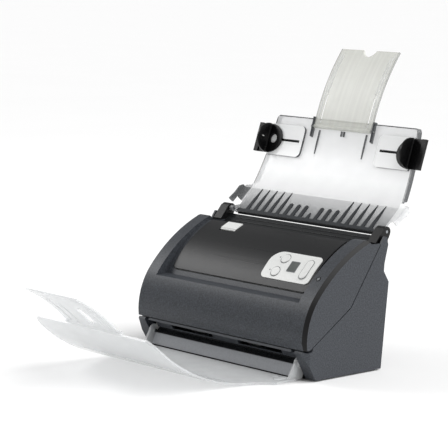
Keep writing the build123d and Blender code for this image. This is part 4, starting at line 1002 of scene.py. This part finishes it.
def plate_groove():
    """Dark gap line round the recess plate."""
    return Shape().seam(plate_edge(GROOVE_WIDTH), plate_edge(0.0), -0.2, GROOVE_RISE)


def lens_ring():
    """Dark ring round the status light."""
    outer, inner = (circle(radius) for radius in LENS_RING)
    return Shape().band(lens_seat(), outer, inner, -0.3, LENS_RING_RISE)


def mouth_ridges(height):
    """Three long ridges on the guide along the paper mouth."""
    up = (cos(radians(THROAT_SLOPE)), sin(radians(THROAT_SLOPE)))
    start = (PATH_BEND[0] + THROAT_LENGTH * up[0] + up[1], PATH_BEND[1] + THROAT_LENGTH * up[1] - up[0])
    slope = (MOUTH_END[0] - start[0], MOUTH_END[1] - start[1])
    mouth = Shape()
    for share in MOUTH_RIDGES:
        y, z = start[0] + slope[0] * share, start[1] + slope[1] * share
        seats = [Seat(x, y, z, (0, -slope[1], slope[0])) for x in (-108, -100, -50, 0, 50, 100, 108)]
        mouth.ridge(seats, 1.0, height, across=False)
    return mouth


def ramp_ridges(height):
    """Two ridges across the exit ramp."""
    down = (-cos(radians(RAMP_SLOPE)), -sin(radians(RAMP_SLOPE)))
    back = (-down[1], down[0])
    ramp = Shape()
    for station in RAMP_RIDGES:
        y = PATH_BEND[0] + station * down[0] + back[0]
        z = PATH_BEND[1] + station * down[1] + back[1]
        seats = [Seat(x, y, z, (0, -back[0], -back[1])) for x in (-106, -98, 0, 98, 106)]
        ramp.ridge(seats, 1.0, height, across=False)
    return ramp


def chute_lip():
    """Lip that closes the gap under the foot of the chute."""
    seat = Seat(0, CHUTE_FOOT[0] + LIP_PLACE[0], CHUTE_FOOT[1] - LIP_PLACE[1], (0, -1, 0))
    return Shape().plate(seat, rounded_rectangle(*LIP_SIZE, 0.6), -0.5, 0.5)


def guide_ring(height):
    """Ring round the hole of the right paper guide."""
    across, hole = GUIDE_HOLE
    seat = chute_seat(across, guide_drop(), CHUTE_FRONT + GUIDE_GAP + GUIDE_PLATE)
    return Shape().band(seat, circle(hole + GUIDE_RING_WIDTH), circle(hole), -0.1, height)


def slot_shade_band():
    """Band of the right paper guide behind its slot, black as painted shade that darkens the slot."""
    across, width, height = SLOT_SHADE_BAND
    seat = chute_seat(across, guide_drop(), -CHUTE_BACK - SLOT_SHADE_BEHIND)
    return Shape().plate(seat, rounded_rectangle(width, height, 1.5), -0.4, 0.4)


def fence_glint():
    """Pale diamond on the inner face of the right fence, a painted highlight where a glint shows."""
    crease = chute_seat(FENCE_ACROSS, guide_drop(), CHUTE_FRONT + GUIDE_GAP + FENCE_RISE)
    half_width, half_height = GLINT_SIZE
    corners = ((-half_height, 0), (0, half_width), (half_height, 0), (0, -half_width))
    inner = [crease.at(-GLINT_INSET, v, GLINT_RISE + w) for w, v in corners]
    root = [p + Vector((0.1, 0, 0)) for p in inner]
    face = [p + Vector((-0.12, 0, 0)) for p in inner]
    faces = [(0, 1, 2, 3), (7, 6, 5, 4), (0, 4, 5, 1), (1, 5, 6, 2), (2, 6, 7, 3), (3, 7, 4, 0)]
    return Shape().add(root + face, faces)


def extension_ridges(height):
    """Ridges along the flip-up sheet."""
    drop, front = EXTENSION_HINGE
    hinge = chute_seat(0, drop, front).origin
    slope = CHUTE_TOP - degrees(drop / CHUTE_RADIUS) + 90
    centre = out_from((hinge.y, hinge.z), EXTENSION_RADIUS, slope - 90)
    sheet = Shape()
    for x, low, top in EXTENSION_RIDGES:
        seats = bent_run(x, low, top, centre, EXTENSION_RADIUS, 1.0, slope + 90, -1)
        sheet.ridge(seats, 0.9, height)
    return sheet


def stop_ridges(height):
    """Ridges along the tray's flip-up stop."""
    hinge = tray_seat(0, *STOP_HINGE).origin
    centre = out_from((hinge.y, hinge.z), STOP_RADIUS, STOP_START + 90)
    stop = Shape()
    for x, low, top in STOP_RIDGES:
        seats = bent_run(x, low, top, centre, STOP_RADIUS, -0.9, STOP_START - 90, 1)
        stop.ridge(seats, 1.0, height)
    return stop


def tray_bosses(height):
    """Oval and round bosses at the ears of the tray."""
    ears = Shape()
    oval = rounded_rectangle(*OVAL_BOSS_SIZE, 3.4, 8)
    for side in (-1, 1):
        seat = Seat(side * OVAL_BOSS[0], OVAL_BOSS[1], EAR_FLOOR, (0, 0, 1))
        ears.plate(seat, oval, -0.2, height)
    for side in (-1, 1):
        seat = Seat(side * ROUND_BOSS[0], ROUND_BOSS[1], EAR_FLOOR, (0, 0, 1))
        ears.plate(seat, circle(ROUND_BOSS_RADIUS, 24), -0.2, height)
    return ears


def tray_marks(height):
    """Short slanting ridges on the floor of the tray."""
    marks = Shape()
    for x, angle, turn in TRAY_MARKS:
        seats = [tray_seat(x + turn * k * 0.8, angle + k * 0.55) for k in range(6)]
        marks.ridge(seats, 1.0, height)
    return marks


# The studio
def pale_floor(reach, colour):
    """Wide round floor of matt paper."""
    points = [(0, 0, 0)]
    for share in FLOOR_RINGS:
        radius = reach * share
        points += [(u, v, 0) for u, v in circle(radius, FLOOR_STEPS)]
    faces = [(0, 1 + k, 1 + (k + 1) % FLOOR_STEPS) for k in range(FLOOR_STEPS)]
    for ring in range(len(FLOOR_RINGS) - 1):
        a, b = 1 + ring * FLOOR_STEPS, 1 + (ring + 1) * FLOOR_STEPS
        for k in range(FLOOR_STEPS):
            n = (k + 1) % FLOOR_STEPS
            faces.append((a + k, b + k, b + n, a + n))
    mesh = bpy.data.meshes.new("pale_floor")
    mesh.from_pydata(points, [], faces)
    floor = bpy.data.objects.new("pale_floor", mesh)
    bpy.context.scene.collection.objects.link(floor)
    paper = Finish("pale_floor_paper", colour, 0.9)
    paper.wire("Base Color", paper.mottle(colour, 0.004, 0.3))
    mesh.materials.append(paper.material)


def soft_room(strength):
    """Even white light from all sides."""
    world = bpy.data.worlds.new("soft_room")
    world.use_nodes = True
    background = next(n for n in world.node_tree.nodes if n.type == "BACKGROUND")
    background.inputs["Color"].default_value = (1.0, 1.0, 1.0, 1.0)
    background.inputs["Strength"].default_value = strength
    bpy.context.scene.world = world
    bpy.context.scene.view_settings.view_transform = "Standard"


def put_lamp(name, lamp, turn, place=(0, 0, 0)):
    """Lamp in the scene, turned and put in its place."""
    holder = bpy.data.objects.new(name, lamp)
    holder.location = place
    holder.rotation_euler = turn.to_euler()
    bpy.context.scene.collection.objects.link(holder)


def left_light(power):
    """Soft light at the left that draws the sheen of the nose."""
    lamp = bpy.data.lights.new("left_sheen", "AREA")
    lamp.shape = "RECTANGLE"
    lamp.size, lamp.size_y = LEFT_LIGHT_SIZE
    lamp.energy = power
    aim = Vector(LEFT_LIGHT_AIM) - Vector(LEFT_LIGHT_PLACE)
    put_lamp("left_sheen", lamp, aim.to_track_quat("-Z", "Y"), LEFT_LIGHT_PLACE)


def key_light(strength, spread):
    """Wide soft light from the right."""
    lamp = bpy.data.lights.new("key", "SUN")
    lamp.energy = strength
    lamp.angle = spread
    put_lamp("key", lamp, Vector(KEY_LIGHT_FROM).to_track_quat("Z", "Y"))


def view_camera(settings):
    """Camera at the settings' place, turned by its three angles."""
    azimuth, elevation, roll = settings.azimuth, settings.elevation, settings.roll
    back = Vector((sin(azimuth) * cos(elevation), -cos(azimuth) * cos(elevation), sin(elevation)))
    right = Vector((cos(azimuth), sin(azimuth), 0))
    up = back.cross(right)
    across = cos(roll) * right + sin(roll) * up
    upright = cos(roll) * up - sin(roll) * right
    lens = bpy.data.cameras.new("view_camera")
    lens.lens = settings.lens
    lens.sensor_width = 36.0
    lens.clip_end = 200.0
    camera = bpy.data.objects.new("view_camera", lens)
    turn = Matrix((across, upright, back)).transposed()
    camera.matrix_world = Matrix.Translation(Vector(settings.eye)) @ turn.to_4x4()
    bpy.context.scene.collection.objects.link(camera)
    bpy.context.scene.camera = camera


# Operators
class SCANNER_OT_moulded_parts(bpy.types.Operator):
    """Give the housing, cover, panels and guides their moulded plastics"""

    bl_idname = "scanner.moulded_parts"
    bl_label = "Moulded parts"

    def execute(self, context):
        s = context.scene.scanner_moulding
        grain = s.grain
        dress(housing_plastic(s), "base_housing")
        dress(moulded_plastic("satin_charcoal", s.charcoal, 0.38, grain), "exit_guide_bar")
        dress(cover_plastic(s), "front_cover")
        dress(
            moulded_plastic("grained_recess_panel", s.recess_panel, 0.38, grain, amount=0.15), "top_panel"
        )
        dress(
            moulded_plastic("smooth_black", s.black, 0.32, grain * 1.6, strength=0.15),
            "front_paper_guide", "power_socket", "power_switch", "switch_frame",
            "left_paper_guide", "right_paper_guide", "left_paper_fence", "right_paper_fence",
            "exit_pinch_rollers", "pinch_rollers",
        )
        dress(moulded_plastic("matt_black_underside", s.black, 0.6, grain * 2), "bottom_plate")
        dress(
            moulded_plastic("satin_white", s.white, 0.34, grain, strength=0.12, amount=0.015),
            "control_panel", "upper_round_button", "lower_round_button", "scan_button", "cover_release_tab",
        )
        dress(ramp_plastic(s), "exit_ramp")
        # Painted shade: the plate behind the sheet is dark grey for the shade in the mouth
        dress(
            moulded_plastic("painted_shade_grey", s.painted_shade_grey, 0.45, grain * 2, strength=0.12, amount=0.04),
            "rear_paper_guide",
        )
        return {"FINISHED"}


class SCANNER_OT_softened_edges(bpy.types.Operator):
    """Round the edges of the moulded housings and caps"""

    bl_idname = "scanner.softened_edges"
    bl_label = "Softened edges"

    def execute(self, context):
        radius = context.scene.scanner_moulding.softened_edge
        soften_nodes(radius, "base_housing", "front_cover")
        soften_nodes(
            radius * 0.6, "top_panel", "control_panel", "cover_release_tab", "exit_guide_bar", "exit_ramp"
        )
        soften_nodes(
            radius * 0.5, "upper_round_button", "lower_round_button", "scan_button", "power_switch"
        )
        return {"FINISHED"}


class SCANNER_OT_clear_parts(bpy.types.Operator):
    """Give the chute, extension, tray and stop their clear plastics, and the finger bar its grey"""

    bl_idname = "scanner.clear_parts"
    bl_label = "Clear parts"

    def execute(self, context):
        s = context.scene.scanner_clear
        dress(chute_plastic(s), "input_chute")
        dress(extension_plastic(s), "input_extension")
        dress(clear_plastic("clear_tray", s.tray, s), "output_tray", "output_flap")
        dress(
            moulded_plastic("finger_grey", s.fingers, 0.35, 0.0008, strength=0.12, amount=0.05),
            "chute_finger_bar",
        )
        return {"FINISHED"}


class SCANNER_OT_works(bpy.types.Operator):
    """Give the rollers, shafts, gears, frames, boards and glass their materials"""

    bl_idname = "scanner.works"
    bl_label = "Works inside"

    def execute(self, context):
        s = context.scene.scanner_works
        dress(
            brushed_metal("turned_steel", s.steel, 0.25, 0.0008),
            "housing_screws", "hinge_pins", "separation_shaft", "motor_shaft", "pick_shaft", "feed_shaft",
            "exit_shaft", "usb_socket",
        )
        dress(spangled_zinc("zinc_plate", s.zinc), "left_side_frame", "right_side_frame", "drive_motor")
        dress(ground_rubber("black_rubber", s.rubber), "rubber_feet", "drive_belt")
        dress(
            ground_rubber("feed_rubber", s.feed_rubber),
            "pick_rollers", "feed_rollers", "exit_rollers", "separation_roller",
        )
        dress(
            moulded_plastic("cream_nylon", s.nylon, 0.45, 0.0012, strength=0.2, amount=0.04),
            "pick_gear", "feed_gear", "middle_gear", "feed_pulley", "motor_pulley", "exit_pulley",
        )
        dress(polished_glass("scan_glass_strip", s.glass, 0.03), "rear_scan_glass", "front_scan_glass")
        dress(moulded_plastic("sensor_black", s.sensor, 0.5, 0.0008), "rear_scan_unit", "front_scan_unit")
        dress(circuit_board("green_board", s.board), "main_board", "panel_board")
        dress(polished_glass("display_grey", s.display, 0.42, 0.0), "display_window")
        dress(polished_glass("status_lens", s.lens, 0.1), "status_light_lens")
        return {"FINISHED"}


class SCANNER_OT_panel_marks(bpy.types.Operator):
    """Print the outlines and arrows of the control panel, and frame its display"""

    bl_idname = "scanner.panel_marks"
    bl_label = "Panel marks"

    def execute(self, context):
        s = context.scene.scanner_marks
        high = mm(s.print_height)
        ink = moulded_plastic("panel_print", s.mark, 0.5, 0.0006, strength=0.1, amount=0.05)
        make_piece("button_outlines", button_outlines(mm(s.outline), high), "cover", ink, 0)
        make_piece("arrow_marks", button_arrows(mm(s.arrow), high), "cover", ink, 0)
        bezel = moulded_plastic("display_bezel", s.mark, 0.3, 0.0006, strength=0.1)
        make_piece("display_bezel", display_frame(mm(s.bezel)), "cover", bezel, 0.06)
        dark = moulded_plastic("status_ring", LINE_BLACK, 0.25, 0.0006, strength=0.1)
        make_piece("status_light_ring", lens_ring(), "cover", dark, 0.12)
        make_piece("recess_plate_groove", plate_groove(), "cover", dark, 0)
        return {"FINISHED"}


class SCANNER_OT_mouth_ridges(bpy.types.Operator):
    """Add the long ridges along the paper mouth and across the exit ramp"""

    bl_idname = "scanner.mouth_ridges"
    bl_label = "Mouth and ramp ridges"

    def execute(self, context):
        s = context.scene.scanner_ridges
        # The ridges and the foot lip take the painted shade grey
        shaded = context.scene.scanner_moulding.painted_shade_grey
        grey = moulded_plastic("ridge_grey", shaded, 0.3, 0.0009, strength=0.12, amount=0.04)
        make_piece("mouth_ridges", mouth_ridges(mm(s.mouth_ridge)), "base", grey, 0)
        make_piece("chute_foot_lip", chute_lip(), "chute", grey, 0.1)
        make_piece("ramp_ridges", ramp_ridges(mm(s.ramp_ridge)), "base", grey, 0)
        return {"FINISHED"}


class SCANNER_OT_guide_details(bpy.types.Operator):
    """Add the ring round each guide's hole, a pale diamond on each fence as a painted glint and a black
    band behind each slot as painted shade
    """

    bl_idname = "scanner.guide_details"
    bl_label = "Paper guide details"

    def execute(self, context):
        moulding = context.scene.scanner_moulding
        dark = moulded_plastic("guide_ring_black", lit(moulding.black, 2.2), 0.3, 0.0007)
        # The pale diamond on each fence is a painted glint
        pale = moulded_plastic("glint_white", moulding.white, 0.4, 0.0006, strength=0.1, amount=0.02)
        # The black band behind each slot is painted shade
        black = moulded_plastic("slot_shade_black", moulding.black, 0.5, 0.0008)
        right = (guide_ring(mm(context.scene.scanner_ridges.guide_ring)), slot_shade_band(), fence_glint())
        left = tuple(shape.mirrored() for shape in right)
        for word, (ring, band, glint) in (("right", right), ("left", left)):
            make_piece(f"{word}_guide_ring", ring, f"{word}_guide", dark, 0.08)
            make_piece(f"{word}_slot_shade_band", band, f"{word}_guide", black, 0.1)
            make_piece(f"{word}_fence_glint", glint, f"{word}_fence", pale, 0)
        return {"FINISHED"}


class SCANNER_OT_clear_ridges(bpy.types.Operator):
    """Add the moulded ridges of the extension, the tray's stop and the tray's ears"""

    bl_idname = "scanner.clear_ridges"
    bl_label = "Ridges on the clear sheets"

    def execute(self, context):
        s = context.scene.scanner_ridges
        clear = context.scene.scanner_clear
        ridge = clear_plastic("clear_ridge", clear.tray, clear, 0.1, 0.35)
        high = mm(s.sheet_ridge)
        make_piece("extension_ridges", extension_ridges(high), "extension", ridge, 0)
        make_piece("stop_ridges", stop_ridges(high), "flap", ridge, 0)
        make_piece("tray_bosses", tray_bosses(mm(s.tray_boss)), "tray", ridge, 0.3)
        make_piece("tray_marks", tray_marks(high), "tray", ridge, 0)
        return {"FINISHED"}


class SCANNER_OT_studio(bpy.types.Operator):
    """Set the pale floor, the soft lights and the camera"""

    bl_idname = "scanner.studio"
    bl_label = "Studio"

    def execute(self, context):
        s = context.scene.scanner_studio
        pale_floor(s.floor_reach, tuple(s.floor))
        soft_room(s.room_light)
        left_light(s.left_light)
        key_light(s.key_light, s.key_spread)
        view_camera(s)
        return {"FINISHED"}


class SCANNER_PT_finish(bpy.types.Panel):
    """Sizes, colours and steps of the scanner's finish"""

    bl_idname = "SCANNER_PT_finish"
    bl_label = "Document scanner"
    bl_space_type = "VIEW_3D"
    bl_region_type = "UI"
    bl_category = "Scanner"

    def draw(self, context):
        for step in STEPS:
            self.layout.operator(step.bl_idname)
        for name, group in SETTINGS.items():
            box = self.layout.box()
            values = getattr(context.scene, name)
            for key in group.__annotations__:
                box.prop(values, key)


STEPS = (
    SCANNER_OT_moulded_parts,
    SCANNER_OT_softened_edges,
    SCANNER_OT_clear_parts,
    SCANNER_OT_works,
    SCANNER_OT_panel_marks,
    SCANNER_OT_mouth_ridges,
    SCANNER_OT_guide_details,
    SCANNER_OT_clear_ridges,
    SCANNER_OT_studio,
)
CLASSES = tuple(SETTINGS.values()) + STEPS + (SCANNER_PT_finish,)


def register():
    """Make the settings, operators and panel known"""
    for cls in CLASSES:
        bpy.utils.register_class(cls)
    for name, group in SETTINGS.items():
        setattr(bpy.types.Scene, name, PointerProperty(type=group))


def unregister():
    """Take the settings, operators and panel away again"""
    for name in SETTINGS:
        delattr(bpy.types.Scene, name)
    for cls in reversed(CLASSES):
        bpy.utils.unregister_class(cls)


def main():
    """Finish the scanner step by step"""
    register()
    bpy.ops.scanner.moulded_parts()
    bpy.ops.scanner.softened_edges()
    bpy.ops.scanner.clear_parts()
    bpy.ops.scanner.works()
    bpy.ops.scanner.panel_marks()
    bpy.ops.scanner.mouth_ridges()
    bpy.ops.scanner.guide_details()
    bpy.ops.scanner.clear_ridges()
    bpy.ops.scanner.studio()


if __name__ == "__main__":
    main()
